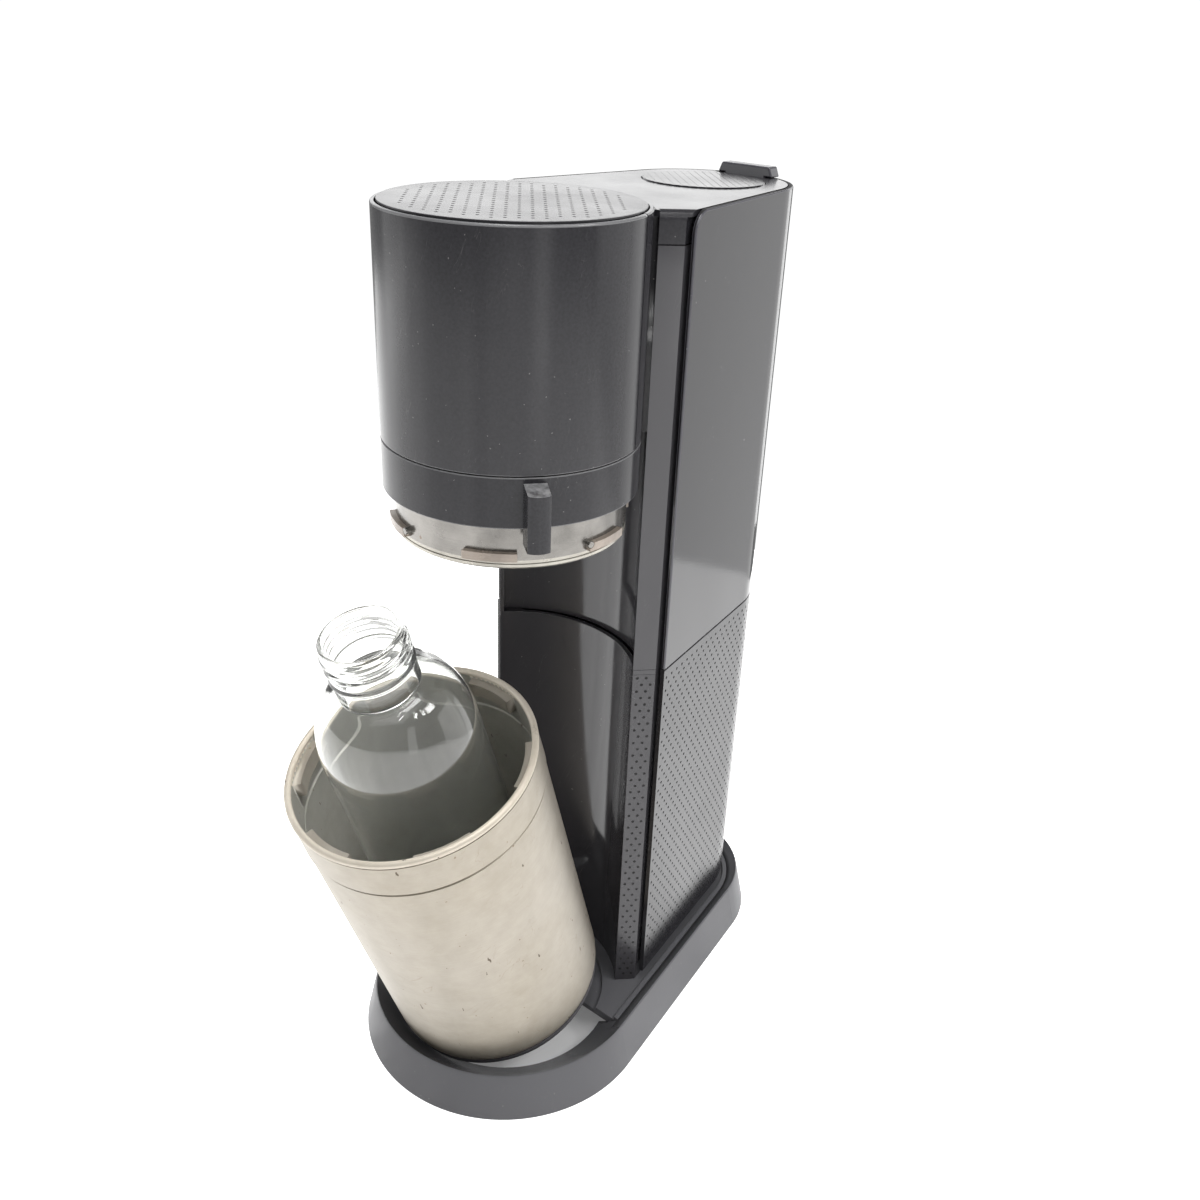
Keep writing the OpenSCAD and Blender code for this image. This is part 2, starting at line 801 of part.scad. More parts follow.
module valve_block() {
    port_half = pipe_r + 3;
    color(brass) centred() difference() {
        union() {
            translate([0, cyl_y]) post(block_r, block_z, block_z + block_h);
            translate([0, cyl_y]) post(flange_r, block_z, block_z + block_flange_t);
            box([-port_half, cyl_y - block_r - 4, pipe_z - port_half],
                [port_half, cyl_y, block_z + block_h]);
        }
        translate([0, cyl_y]) post(valve_r + run_gap, block_z - 1, block_z + socket_depth);
        translate([0, cyl_y]) post(plunger_r + pin_fit, block_z, block_z + block_h + 1);
        valve_screw_places() post(bolt_r + bolt_gap, block_z - 1, block_z + block_flange_t + 1);
    }
}

module valve_screws() {
    color(steel) centred() valve_screw_places() {
        post(bolt_r, block_z - plate_t - bolt_tail, block_z + block_flange_t + bolt_head_t / 2);
        post(bolt_head_r, block_z + block_flange_t, block_z + block_flange_t + bolt_head_t);
    }
}

module rocker_bracket() {
    outer = cheek_in + cheek_t;
    front = pivot_y - bracket_half;
    back = pivot_y + bracket_half;
    color(steel) centred() difference() {
        union() {
            both_sides() box([cheek_in, front, block_z], [outer, back, pivot_z + bracket_half + 1]);
            box([-outer, front, block_z], [outer, back, block_z + bracket_floor]);
        }
        translate([-far / 2, pivot_y, pivot_z]) rotate([0, 90, 0]) cylinder(r = pivot_r + 0.02, h = far);
    }
}

module rocker_pin() {
    half = cheek_in + cheek_t + 1.5;
    color(steel) centred()
        translate([-half, pivot_y, pivot_z]) rotate([0, 90, 0]) cylinder(r = pivot_r, h = 2 * half);
}

module cylinder_cradle() {
    outer_r = cyl_r + run_gap + cradle_wall;
    color(gloss_black) centred() translate([0, cyl_y]) {
        ring(cyl_r + run_gap, outer_r, deck_top_z, deck_top_z + cradle_h);
        post(cyl_r + 1, deck_top_z, deck_top_z + cradle_floor);
    }
}

module lock_ring() {
    color(charcoal) centred() ring(collar_neck_r + fit, head_r, ring_bottom_z, ring_top_z);
}

module ring_lever() {
    top_slope = 8;
    top_z = ring_top_z - 2.4;
    tip_r = 0.85 * lever_w;
    root = 4;
    color(charcoal) centred() rotate([0, 0, lever_az - 90]) difference() {
        translate([0, 0, ring_bottom_z - lever_drop]) linear_extrude(top_z + lever_drop - ring_bottom_z)
            intersection() {
                translate([head_r - root, -lever_w / 2]) square([lever_reach + 2 * root, lever_w]);
                translate([head_r + lever_reach - tip_r, 0]) union() {
                    circle(r = tip_r);
                    translate([-far, -far / 2]) square([far, far]);
                }
            }
        post(head_r, collar_z, head_top_z);
        translate([head_r, -lever_w, top_z]) rotate([0, top_slope, 0]) cube([far, 2 * lever_w, far]);
    }
}

// Places of the stop pins on the collar
module pin_places(r_from, r_to, radius) {
    pin_az = [lug_az - 47, lug_az + 48.3];
    for (az = pin_az, half = [0, 180])
        rotate([0, 0, az + half - 90]) translate([r_from, 0, collar_z + 7.2]) rotate([0, 90, 0])
            cylinder(r = radius, h = r_to - r_from);
}

module bayonet_collar() {
    groove_z = collar_z + 2;
    lug_z = collar_z + 4.2;
    color(collar_metal) centred() difference() {
        union() {
            rotate_extrude() polygon([
                [collar_in_r, collar_z], [collar_r - 0.8, collar_z], [collar_r, collar_z + 0.8],
                [collar_r, groove_z], [collar_r - 0.5, groove_z], [collar_r - 0.5, groove_z + 0.6],
                [collar_r, groove_z + 0.6], [collar_r, ring_bottom_z], [collar_neck_r, ring_bottom_z],
                [collar_neck_r, flange_z], [collar_flange_r, flange_z],
                [collar_flange_r, flange_z + flange_t], [collar_in_r, flange_z + flange_t]
            ]);
            for (i = [0 : lug_count - 1]) let (az = lug_az + i * 360 / lug_count)
                ring_part(collar_r - 1, collar_r + lug_reach, lug_z, lug_z + lug_h,
                    az - lug_arc / 2, az + lug_arc / 2);
        }
        pin_places(collar_in_r + 1, collar_r + 9, pin_r + 0.02);
    }
}

module collar_pins() {
    color(brass) centred() pin_places(collar_in_r + 1, collar_r + lug_reach, pin_r);
}

module button_cap() {
    edge = 0.5;
    color(charcoal) centred() rotate_extrude() polygon([
        [0, cap_z], [button_r, cap_z], [button_r, cap_top_z - edge],
        [button_r - edge, cap_top_z], [0, cap_top_z]
    ]);
}

module button_stem() {
    tip_r = 3;
    color(white_plastic) centred() {
        post(stem_r, guide_z - 1, cap_z);
        post(tip_r, stem_z, guide_z);
    }
}

// Coil of the button spring: rings of points along the turns, closed at both ends
module button_spring() {
    sides = 6;
    steps = 12;
    coil_r = stem_r + 4;
    low = guide_top_z + spring_wire / 2 + 0.1;
    rise = spring_room - spring_wire - 0.2;
    count = floor(spring_turns * steps);
    points = [for (i = [0 : count], k = [0 : sides - 1])
        let (turn = 360 * i / steps, side = 360 * k / sides, r = coil_r + spring_wire / 2 * cos(side))
        [r * cos(turn), r * sin(turn), low + rise * i / count + spring_wire / 2 * sin(side)]];
    walls = [for (i = [0 : count - 1], k = [0 : sides - 1])
        let (a = i * sides + k, b = i * sides + (k + 1) % sides)
        each [[a, a + sides, b], [b, a + sides, b + sides]]];
    start_cap = [[for (k = [0 : sides - 1]) k]];
    end_cap = [[for (k = [0 : sides - 1]) count * sides + sides - 1 - k]];
    echo(spring_gap = rise / spring_turns - spring_wire);
    color(steel) centred() polyhedron(points, concat(walls, start_cap, end_cap));
}

module rocker_lever() {
    color(steel) centred() difference() {
        translate([0, 0, rocker_z]) linear_extrude(rocker_h) {
            circle(r = rocker_nose_r);
            translate([-rocker_w / 2, 0]) square([rocker_w, pivot_y]);
            translate([0, pivot_y]) circle(r = rocker_w / 2 - 0.5);
        }
        translate([-far / 2, pivot_y, pivot_z]) rotate([0, 90, 0]) cylinder(r = pivot_r + pin_fit, h = far);
    }
}

module valve_plunger() {
    top_z = rocker_z - run_gap;
    color(brass) centred() translate([0, cyl_y]) {
        post(plunger_r, valve_top_z + 2, top_z - 1);
        post(2 * plunger_r, top_z - plunger_head, top_z);
    }
}

// Outline of the gas cylinder, drawn in from its outside by a distance
module cylinder_outline(inset) {
    corner = 7;
    r = cyl_r - inset;
    z = cyl_z + inset;
    neck = valve_r + 2 - 2 * inset;
    heel = [for (a = [0 : 15 : 90]) [r - corner + corner * sin(a), z + corner - corner * cos(a)]];
    shoulder = quarter(r, valve_z - dome_h, neck, valve_z - 2 - inset);
    polygon(concat([[0, z]], heel, shoulder, [[neck, valve_z + inset], [0, valve_z + inset]]));
}

module gas_cylinder() {
    color(steel) centred() translate([0, cyl_y]) rotate_extrude() difference() {
        cylinder_outline(0);
        cylinder_outline(cyl_wall);
    }
}

module cylinder_valve() {
    color(brass) centred() translate([0, cyl_y]) {
        post(valve_r, valve_z, valve_top_z);
        post(valve_r + 2, valve_z, valve_z + 3);
    }
}

module back_cover_upper() {
    color(charcoal) centred() difference() {
        translate([0, 0, seam_z]) linear_extrude(tower_top_z - seam_z) wrap_section();
        translate([-far / 2, panel_front_y, tower_top_z]) rotate([90, 0, 90])
            linear_extrude(far) difference() {
                translate([-1, -panel_corner_r]) square([panel_corner_r + 1, panel_corner_r + 1]);
                translate([panel_corner_r, -panel_corner_r]) circle(r = panel_corner_r + fit);
            }
    }
}

module back_cover_lower() {
    color(charcoal) centred()
        translate([0, 0, panel_z]) linear_extrude(seam_z - panel_z) wrap_section();
}

module back_handle() {
    stem_half_w = handle_half_w - 4;
    slant = 2;
    inner_rear_r = side_off - panel_wall - rear_inset;
    stem_rear = axis_gap + sqrt(inner_rear_r * inner_rear_r - stem_half_w * stem_half_w) - fit;
    color(gloss_black) centred() {
        translate([0, handle_y + handle_depth, tower_top_z]) rotate([90, 0, 0]) linear_extrude(handle_depth)
            polygon([[-handle_half_w, 0], [handle_half_w, 0], [handle_half_w - slant, handle_rise],
                [slant - handle_half_w, handle_rise]]);
        box([-stem_half_w, handle_y, tower_top_z - 9], [stem_half_w, stem_rear, tower_top_z + 1]);
    }
}

// Leans a shape that is drawn upright about the canister's axis, from its steel bottom
module leaning() { translate([0, can_y, can_z]) rotate([can_tilt, 0, 0]) children(); }

module canister_shell() {
    heel = 4;
    band_z = can_len - band_drop;
    top_z = can_len - 2 * bead_r;
    body_r = band_r - 0.5;
    color(steel) centred() leaning() rotate_extrude() polygon([
        [0, 0], [can_bottom_r - heel, 0], [can_bottom_r - heel / 4, heel / 4], [can_bottom_r, heel],
        [body_r, band_z - 0.5], [band_r, band_z], [band_r, top_z], [band_r - can_wall, top_z],
        [band_r - can_wall, band_z], [body_r - can_wall, band_z - 0.5], [can_bottom_r - can_wall, heel],
        [can_bottom_r - heel, can_floor], [0, can_floor]
    ]);
}

module canister_rim() {
    sleeve_z = can_len - band_drop;
    color(steel) centred() leaning() {
        rotate_extrude() {
            translate([rim_r - bead_r, can_len - bead_r]) circle(r = bead_r);
            translate([sleeve_in_r, sleeve_z])
                square([sleeve_r - sleeve_in_r, can_len - bead_r - sleeve_z]);
        }
        for (i = [0 : lug_count - 1]) let (az = i * 360 / lug_count)
            ring_part(tab_in_r, sleeve_in_r + 0.5, can_len - tab_drop - tab_h, can_len - tab_drop,
                az - tab_arc / 2, az + tab_arc / 2);
    }
}

module canister_foot() {
    color(rubber) centred() leaning() rotate_extrude() polygon([
        [0, -can_foot_t], [foot_edge_r - foot_bevel, -can_foot_t], [foot_edge_r, foot_bevel - can_foot_t],
        [foot_edge_r, 0], [0, 0]
    ]);
}

// Outline of the carafe, drawn in from its outside by a distance, above a floor
module carafe_outline(inset, floor_h) {
    heel = 5;
    r = carafe_r - inset;
    top = carafe_h + inset;
    neck = neck_r - inset;
    neck_z = shoulder_z + shoulder_h - inset / 2;
    polygon(concat(
        [[0, floor_h], [r - heel, floor_h], [r - heel / 3, floor_h + heel / 3], [r, floor_h + heel]],
        quarter(r, shoulder_z, neck, neck_z), [[neck, top], [0, top]]));
}

module glass_carafe() {
    bead_rise = 11;
    bead_z = carafe_h - neck_h + bead_rise;
    thread_t = 1.4;
    color(glass) centred() leaning() rotate_extrude() difference() {
        union() {
            carafe_outline(0, carafe_z);
            translate([neck_r - 1, bead_z]) square([3, 2]);
            for (i = [0 : 1]) translate([neck_r - 1, bead_z + 4.5 + 4 * i]) square([1 + thread_t, 2]);
        }
        carafe_outline(glass_wall, carafe_z + 5);
    }
}

base_frame();
deck_tray();
base_plate();
base_feet();
base_screws();
lower_front_shell();
upper_front_shell();
head_frame();
head_front_cover();
head_rear_shell();
top_cover();
vent_cap();
pressure_bell();
nozzle_holder();
bottle_seal();
nozzle_tube();
relief_valve();
gas_pipe();
chassis();
valve_block();
valve_screws();
rocker_bracket();
rocker_pin();
cylinder_cradle();
lock_ring();
ring_lever();
bayonet_collar();
collar_pins();
button_cap();
button_stem();
button_spring();
rocker_lever();
valve_plunger();
gas_cylinder();
cylinder_valve();
back_cover_upper();
back_cover_lower();
back_handle();
canister_shell();
canister_rim();
canister_foot();
glass_carafe();
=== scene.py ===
"""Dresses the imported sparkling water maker: covers, dotted panels, steel canister and glass carafe."""
import json
from math import ceil, cos, hypot, pi, radians, sin, tan

import bmesh
import bpy
from mathutils import Matrix, Vector


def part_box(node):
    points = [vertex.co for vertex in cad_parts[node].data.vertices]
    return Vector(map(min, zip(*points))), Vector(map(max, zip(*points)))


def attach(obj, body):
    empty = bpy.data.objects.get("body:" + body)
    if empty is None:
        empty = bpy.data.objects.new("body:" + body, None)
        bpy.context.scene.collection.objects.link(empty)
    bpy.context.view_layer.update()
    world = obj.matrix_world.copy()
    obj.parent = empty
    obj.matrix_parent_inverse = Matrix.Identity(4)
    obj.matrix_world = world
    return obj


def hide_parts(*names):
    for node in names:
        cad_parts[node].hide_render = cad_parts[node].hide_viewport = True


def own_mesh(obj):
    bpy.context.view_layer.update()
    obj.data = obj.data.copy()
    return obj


bl_info = {
    "name": "Sparkling water maker looks",
    "version": (1, 0, 0),
    "blender": (4, 5, 0),
    "location": "View3D > Sidebar > Water maker",
    "description": "Covers, patterns, finishes and stage for the packed water maker",
    "category": "Object",
}

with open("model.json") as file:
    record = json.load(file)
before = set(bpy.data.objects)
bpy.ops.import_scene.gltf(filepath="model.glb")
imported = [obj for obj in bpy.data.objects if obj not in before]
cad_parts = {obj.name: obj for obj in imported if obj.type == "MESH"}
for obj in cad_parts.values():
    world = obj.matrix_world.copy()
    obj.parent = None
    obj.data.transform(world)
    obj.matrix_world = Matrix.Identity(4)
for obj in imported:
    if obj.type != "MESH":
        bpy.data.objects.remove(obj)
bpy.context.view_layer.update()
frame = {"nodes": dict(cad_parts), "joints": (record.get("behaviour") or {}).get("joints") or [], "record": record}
RECORD = frame["record"]
BODY_OF = {node: body for body, nodes in RECORD["behaviour"]["bodies"].items() for node in nodes}
SLOT_OF = {row["node"]: row["material_slot"] for row in RECORD["subparts"]}
JOINT = {row["name"]: row for row in frame["joints"]}
HEAD_AXIS = Vector(JOINT["lock_turn"]["pos_m"][:2] + [0])
MM = 0.001
CAMERA_TURN = radians(38.634), radians(26.674), radians(2.485)  # yaw, pitch and roll
CAMERA_PLACE = Vector((341.19, -360.06, 507.23)) * MM  # from the head's axis on the floor
SENSOR_WIDTH, FOCAL_LENGTH = 36, 35.457  # millimetres, as the camera takes them
FLOOR_CORNERS = (-2, -2), (2, -2), (2, 0.6), (-2, 0.6)
FLOOR_GLOW = 1.25
FLOOR_BOUNCE = 0.3  # share of the glow that lights the rough surfaces
STREAK_LOW, STREAK_HIGH, STREAK_SCALE = 0.65, 1.35, 4.0  # what the gloss mirrors of the floor
OPENING_EDGE, OPENING_FADE, OPENING_SHADE = 55 * MM, 66 * MM, 0.1  # shaded floor inside the base ring
SURROUND_SEEN, SURROUND_LIGHT, SURROUND_THROUGH_GLASS = 1.05, 0.32, 0.5
# Name, turn from the front in degrees, height, distance, width, height of the box, brightness
SOFT_BOXES = (
    ("left_box", -66, 0.35, 1.4, 0.75, 1.4, 0.8),
    ("right_box", 67, 0.35, 1.4, 0.28, 1.4, 0.95),
    ("flank_box", 132, 0.3, 1.3, 0.9, 1.1, 0.95),
    ("rear_box", 224, 0.95, 1.9, 2.4, 0.8, 1.6),
    ("side_box", 166, 0.1, 1.25, 0.6, 0.9, 1.0),
    ("edge_box", 184, 0.35, 1.5, 0.3, 1.3, 1.8),
    ("top_box", 20, 1.7, 0.5, 1.3, 1.3, 1.2),
    ("high_box", 0, 2.0, 0.1, 0.6, 0.6, 10.0),
    ("right_lamp", 78, 1.4, 1.0, 0.08, 0.35, 22.0),
    ("far_lamp", 95, 1.5, 1.2, 0.08, 0.35, 22.0),
    ("front_lamp", 40, 1.7, 0.8, 0.07, 0.3, 22.0),
    ("sky_box", 112, 1.3, 1.1, 0.35, 0.35, 12.0),
)
BOX_AIM = Vector((0, 0, 0.35))


def length(name, description, default):
    """A size in metres that a user may change."""
    return bpy.props.FloatProperty(
        name=name, description=description, default=default, unit="LENGTH", precision=5)


def lean(name, description, default):
    """An angle that a user may change."""
    return bpy.props.FloatProperty(name=name, description=description, default=default, subtype="ANGLE")


def tint(name, description, default):
    """A linear colour that a user may change."""
    return bpy.props.FloatVectorProperty(
        name=name, description=description, default=default, subtype="COLOR", size=3, min=0, max=1)


class OutlineSizes(bpy.types.PropertyGroup):
    """Teardrop outline that the base, the back cover and the pillars share"""
    axis_gap: length("Axis gap", "From the head's axis to the axis of the round rear", 132 * MM)
    taper: lean("Taper", "Lean of each side towards the rear", radians(8.65))
    side: length("Side", "Offset of the back cover's outside", 62.9 * MM)
    wall: length("Wall", "Wall of the back cover", 2.4 * MM)
    front: length("Front", "Front edge of the back cover behind the head's axis", 49 * MM)
    recess: length("Recess", "Radius of the lower recess", 59.2 * MM)
    pillar_width: length("Pillar width", "Width of a pillar's front face", 11.3 * MM)


class DotSizes(bpy.types.PropertyGroup):
    """Staggered dots on the button, the pillars and the lower cover"""
    row_step: length("Row step", "Distance between rows of dots", 3.75 * MM)
    cover_pitch: length("Cover pitch", "Distance between dots in a row on the cover", 5.5 * MM)
    pillar_pitch: length("Pillar pitch", "Distance between dots in a row on a pillar", 4.4 * MM)
    button_pitch: length("Button pitch", "Distance between dots in a row on the button", 7 * MM)
    radius: length("Radius", "Radius of a dot", 0.78 * MM)
    depth: length("Depth", "Depth of a dot", 0.5 * MM)


class CanisterSizes(bpy.types.PropertyGroup):
    """Leaning steel canister"""
    tilt: lean("Lean", "Forward lean of the axis", radians(18.7))
    height: length("Height", "From the steel bottom to the rim", 173.5 * MM)
    rim: length("Rim", "Outer radius of the rolled rim", 59 * MM)
    bead: length("Bead", "Radius of the rolled bead", 1.65 * MM)
    bottom: length("Bottom", "Radius of the wall at the bottom", 55.5 * MM)
    band: length("Band", "Distance of the band line below the rim", 21.3 * MM)
    wall: length("Wall", "Wall of the steel", 0.8 * MM)
    heel: length("Heel", "Rounding between the wall and the bottom", 5 * MM)


class CarafeSizes(bpy.types.PropertyGroup):
    """Glass carafe with a threaded neck"""
    height: length("Height", "Lip above the canister's steel bottom", 250.7 * MM)
    floor: length("Floor", "Glass bottom above the canister's steel bottom", 1.5 * MM)
    body: length("Body", "Radius of the body", 36.3 * MM)
    neck: length("Neck", "Radius of the neck", 18.4 * MM)
    neck_height: length("Neck height", "Height of the neck", 28.7 * MM)
    shoulder: length("Shoulder", "Height of the shoulder", 34 * MM)
    wall: length("Wall", "Wall of the glass", 1.3 * MM)
    thread: length("Thread", "Height of the thread above the neck", 0.9 * MM)


class FinishColours(bpy.types.PropertyGroup):
    """Linear colours of the finishes"""
    charcoal: tint("Charcoal", "Satin covers", (0.0178, 0.0172, 0.02))
    gloss: tint("Gloss", "Gloss recess and pillars", (0.058, 0.056, 0.0615))
    base: tint("Base", "Matt base", (0.122, 0.122, 0.13))
    steel: tint("Canister", "Warm brushed steel", (0.38, 0.348, 0.3))
    inside: tint("Inside", "Dull steel inside the canister", (0.385, 0.38, 0.348))
    collar: tint("Collar", "Dull collar metal", (0.27, 0.258, 0.24))
    stain: tint("Stain", "Brown wear on steel", (0.16, 0.10, 0.055))
    dust: tint("Dust", "Pale dust", (0.42, 0.41, 0.40))
    glass: tint("Glass", "Faint green of the glass", (0.985, 0.992, 0.972))


class WaterMaker(bpy.types.PropertyGroup):
    """All sizes and colours of the looks"""
    outline: bpy.props.PointerProperty(type=OutlineSizes)
    dots: bpy.props.PointerProperty(type=DotSizes)
    canister: bpy.props.PointerProperty(type=CanisterSizes)
    carafe: bpy.props.PointerProperty(type=CarafeSizes)
    colours: bpy.props.PointerProperty(type=FinishColours)


def sizes():
    return bpy.context.scene.water_maker


# Meshes

FLAT_ANGLE = radians(0.3)  # faces that turn less than this are one face
ROUNDED_ANGLE = radians(32)  # edges that turn more than this are rounded
SHARP_ANGLE = radians(38)  # edges that turn more than this are shaded sharp
MERGE = 2e-6  # corners nearer than this, in metres, are one corner
LEVEL = 0.1  # a part of a normal that is smaller than this counts as none
UPWARD = 0.5  # a face looks up if its normal rises more than this


def new_object(name, data):
    piece = bpy.data.objects.new(name, data)
    bpy.context.scene.collection.objects.link(piece)
    return piece


def mesh_from(bm, name):
    mesh = bpy.data.meshes.new(name)
    bm.to_mesh(mesh)
    bm.free()
    return mesh


def flattened(piece):
    """Evaluates a piece's modifiers into a plain mesh."""
    depsgraph = bpy.context.evaluated_depsgraph_get()
    mesh = bpy.data.meshes.new_from_object(piece.evaluated_get(depsgraph))
    piece.modifiers.clear()
    piece.data = mesh
    return piece


def soften(piece, edge):
    """Rounds the sharp edges, painting the rounded faces in the piece's second finish as a highlight if it has
    one, and shades the faces smooth.
    """
    if edge:
        bevel = piece.modifiers.new("Rounded edges", "BEVEL")
        bevel.width = edge
        bevel.segments = 3
        bevel.limit_method = "ANGLE"
        bevel.angle_limit = ROUNDED_ANGLE
        # The rounded faces take the second finish: a painted highlight.
        bevel.material = 1 if len(piece.data.materials) > 1 else -1
        flattened(piece)
    piece.data.shade_smooth()
    piece.data.set_sharp_from_angle(angle=SHARP_ANGLE)
    weight = piece.modifiers.new("Even normals", "WEIGHTED_NORMAL")
    weight.keep_sharp = True
    return flattened(piece)


def merge(bm, reach=MERGE):
    bmesh.ops.remove_doubles(bm, verts=bm.verts, dist=reach)


def open_edges(bm):
    return [edge for edge in bm.edges if edge.is_boundary]


def polar(radius, angle, height):
    return Vector((radius * cos(angle), radius * sin(angle), height))


def outward(spot):
    """Direction out of the teardrop at a spot about the head's axis."""
    middle = min(max(spot.y, 0), sizes().outline.axis_gap)
    return Vector((spot.x, spot.y - middle, 0)).normalized()


def dress(piece, node, *finishes):
    """Gives a piece its finishes and body, and hides the node that it stands for."""
    for finish in finishes:
        piece.data.materials.append(material(finish))
    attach(piece, BODY_OF[node])
    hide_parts(node)
    return piece


def joined_copy(node, *finishes):
    """A copy of a CAD node with its loose triangles joined into faces, and with any finishes set."""
    bm = bmesh.new()
    bm.from_mesh(frame["nodes"][node].data)
    merge(bm)
    bmesh.ops.dissolve_limit(bm, angle_limit=FLAT_ANGLE, verts=bm.verts, edges=bm.edges)
    piece = new_object(node + "_dressed", mesh_from(bm, node + "_dressed"))
    for finish in finishes:
        piece.data.materials.append(material(finish))
    return piece


def rounded_node(node, edge, *finishes):
    """Stands in for a CAD node with its edges rounded, and with a painted highlight on them if a second finish is
    given.
    """
    return dress(soften(joined_copy(node, *finishes), edge), node)


def loft(rings, ring_closed=True, stack_closed=True):
    """Joins rings of points, one after the other, into a mesh."""
    bm = bmesh.new()
    rows = [[bm.verts.new(point) for point in ring] for ring in rings]
    count = len(rows[0])
    for i in range(len(rows) if stack_closed else len(rows) - 1):
        low, high = rows[i], rows[(i + 1) % len(rows)]
        for j in range(count if ring_closed else count - 1):
            k = (j + 1) % count
            bm.faces.new((low[j], low[k], high[k], high[j]))
    return bm


def closed_up(bm):
    """Merges poles and doubles, fills open ends and turns the faces outwards."""
    merge(bm, 1e-6)
    bmesh.ops.dissolve_degenerate(bm, edges=bm.edges, dist=1e-7)
    rim = open_edges(bm)
    if rim:
        bmesh.ops.holes_fill(bm, edges=rim)
    bmesh.ops.recalc_face_normals(bm, faces=bm.faces)
    return bm


def lathe(name, outline, place, steps, swell=None):
    """Turns a closed (radius, height) outline about the place's Z axis."""
    rings = []
    for radius, height in outline:
        ring = []
        for step in range(steps):
            angle = 2 * pi * step / steps
            reach = radius + (swell(angle, radius, height) if swell else 0)
            ring.append(place @ polar(reach, angle, height))
        rings.append(ring)
    return new_object(name, mesh_from(closed_up(loft(rings)), name))


def fillet(points, radii, steps=6):
    """Rounds the corners of a closed outline."""
    made = []
    for i, point in enumerate(points):
        corner = Vector(point)
        before = Vector(points[i - 1]) - corner
        after = Vector(points[(i + 1) % len(points)]) - corner
        if not radii[i] or before.length < 1e-9 or after.length < 1e-9:
            made.append(tuple(corner))
            continue
        half = before.angle(after) / 2
        reach = min(radii[i] / tan(half), 0.49 * before.length, 0.49 * after.length)
        start = corner + before.normalized() * reach
        end = corner + after.normalized() * reach
        for step in range(steps + 1):
            t = step / steps
            made.append(tuple(start * (1 - t) ** 2 + corner * 2 * t * (1 - t) + end * t ** 2))
    return made


def wrap_length():
    """Length of the back cover's outside, and of one of its straight sides."""
    o = sizes().outline
    rear = o.side - o.axis_gap * sin(o.taper)
    side_start = (o.front - o.side * sin(o.taper)) / cos(o.taper)
    straight = o.axis_gap * cos(o.taper) - side_start
    return 2 * straight + rear * (pi - 2 * o.taper), straight


def wrap_point(s, inset):
    """Point at a distance along the back cover, drawn in from its outside, and the outward normal."""
    o = sizes().outline
    total, straight = wrap_length()
    rear = o.side - o.axis_gap * sin(o.taper)
    mirrored = s > total / 2
    if mirrored:
        s = total - s
    if s <= straight:
        normal = Vector((cos(o.taper), sin(o.taper), 0))
        back = Vector((-sin(o.taper), cos(o.taper), 0))
        tangent_point = Vector((0, o.axis_gap, 0)) + normal * (rear - inset)
        point = tangent_point - back * (straight - s)
    else:
        angle = o.taper + (s - straight) / rear
        normal = Vector((cos(angle), sin(angle), 0))
        point = Vector((0, o.axis_gap, 0)) + normal * (rear - inset)
    if inset and s < straight:
        point.y = max(point.y, o.front + s * cos(o.taper))
    if mirrored:
        point.x, normal.x = -point.x, -normal.x
    return HEAD_AXIS + point, normal


# Dots by geometry nodes

KEEP_ALL = 10.0  # metres, wider than any sheet of dots


def dot_tile(name, width, height, radius, depth):
    """Flat cell with a pit in its middle, and a row of corners that its neighbours share."""
    bm = bmesh.new()
    sides, narrow = 8, 0.75  # corners of a dot, and its width at the bottom
    half_w, half_h = width / 2, height / 2
    border = [bm.verts.new((x * half_w, y * half_h, 0)) for x, y in (
        (-1, -1), (0, -1), (1, -1), (1, 1), (0, 1), (-1, 1))]
    angles = [2 * pi * (k + 0.5) / sides for k in range(sides)]
    lip = [bm.verts.new(polar(radius, angle, 0)) for angle in angles]
    pit = [bm.verts.new(polar(narrow * radius, angle, -depth)) for angle in angles]
    edges = [bm.edges.new((ring[k], ring[(k + 1) % len(ring)]))
             for ring in (border, lip) for k in range(len(ring))]
    bmesh.ops.triangle_fill(bm, use_beauty=True, use_dissolve=False, edges=edges)
    inside = [face for face in bm.faces if face.calc_center_median().length < 0.5 * radius]
    bmesh.ops.delete(bm, geom=inside, context="FACES_ONLY")
    for k in range(sides):
        bm.faces.new((lip[k], lip[(k + 1) % sides], pit[(k + 1) % sides], pit[k]))
    bm.faces.new(pit)
    mesh = mesh_from(bm, name)
    mark = mesh.attributes.new("pit", "BOOLEAN", "FACE")
    for face in mesh.polygons:
        mark.data[face.index].value = min(mesh.vertices[v].co.z for v in face.vertices) < -depth / 2
    return new_object(name, mesh)


def plain_tile(name, width, height):
    """Flat half cell for the ends of the set-back rows."""
    bm = bmesh.new()
    corners = ((-1, -1), (1, -1), (1, 1), (-1, 1))
    bm.faces.new([bm.verts.new((x * width / 2, y * height / 2, 0)) for x, y in corners])
    return new_object(name, mesh_from(bm, name))


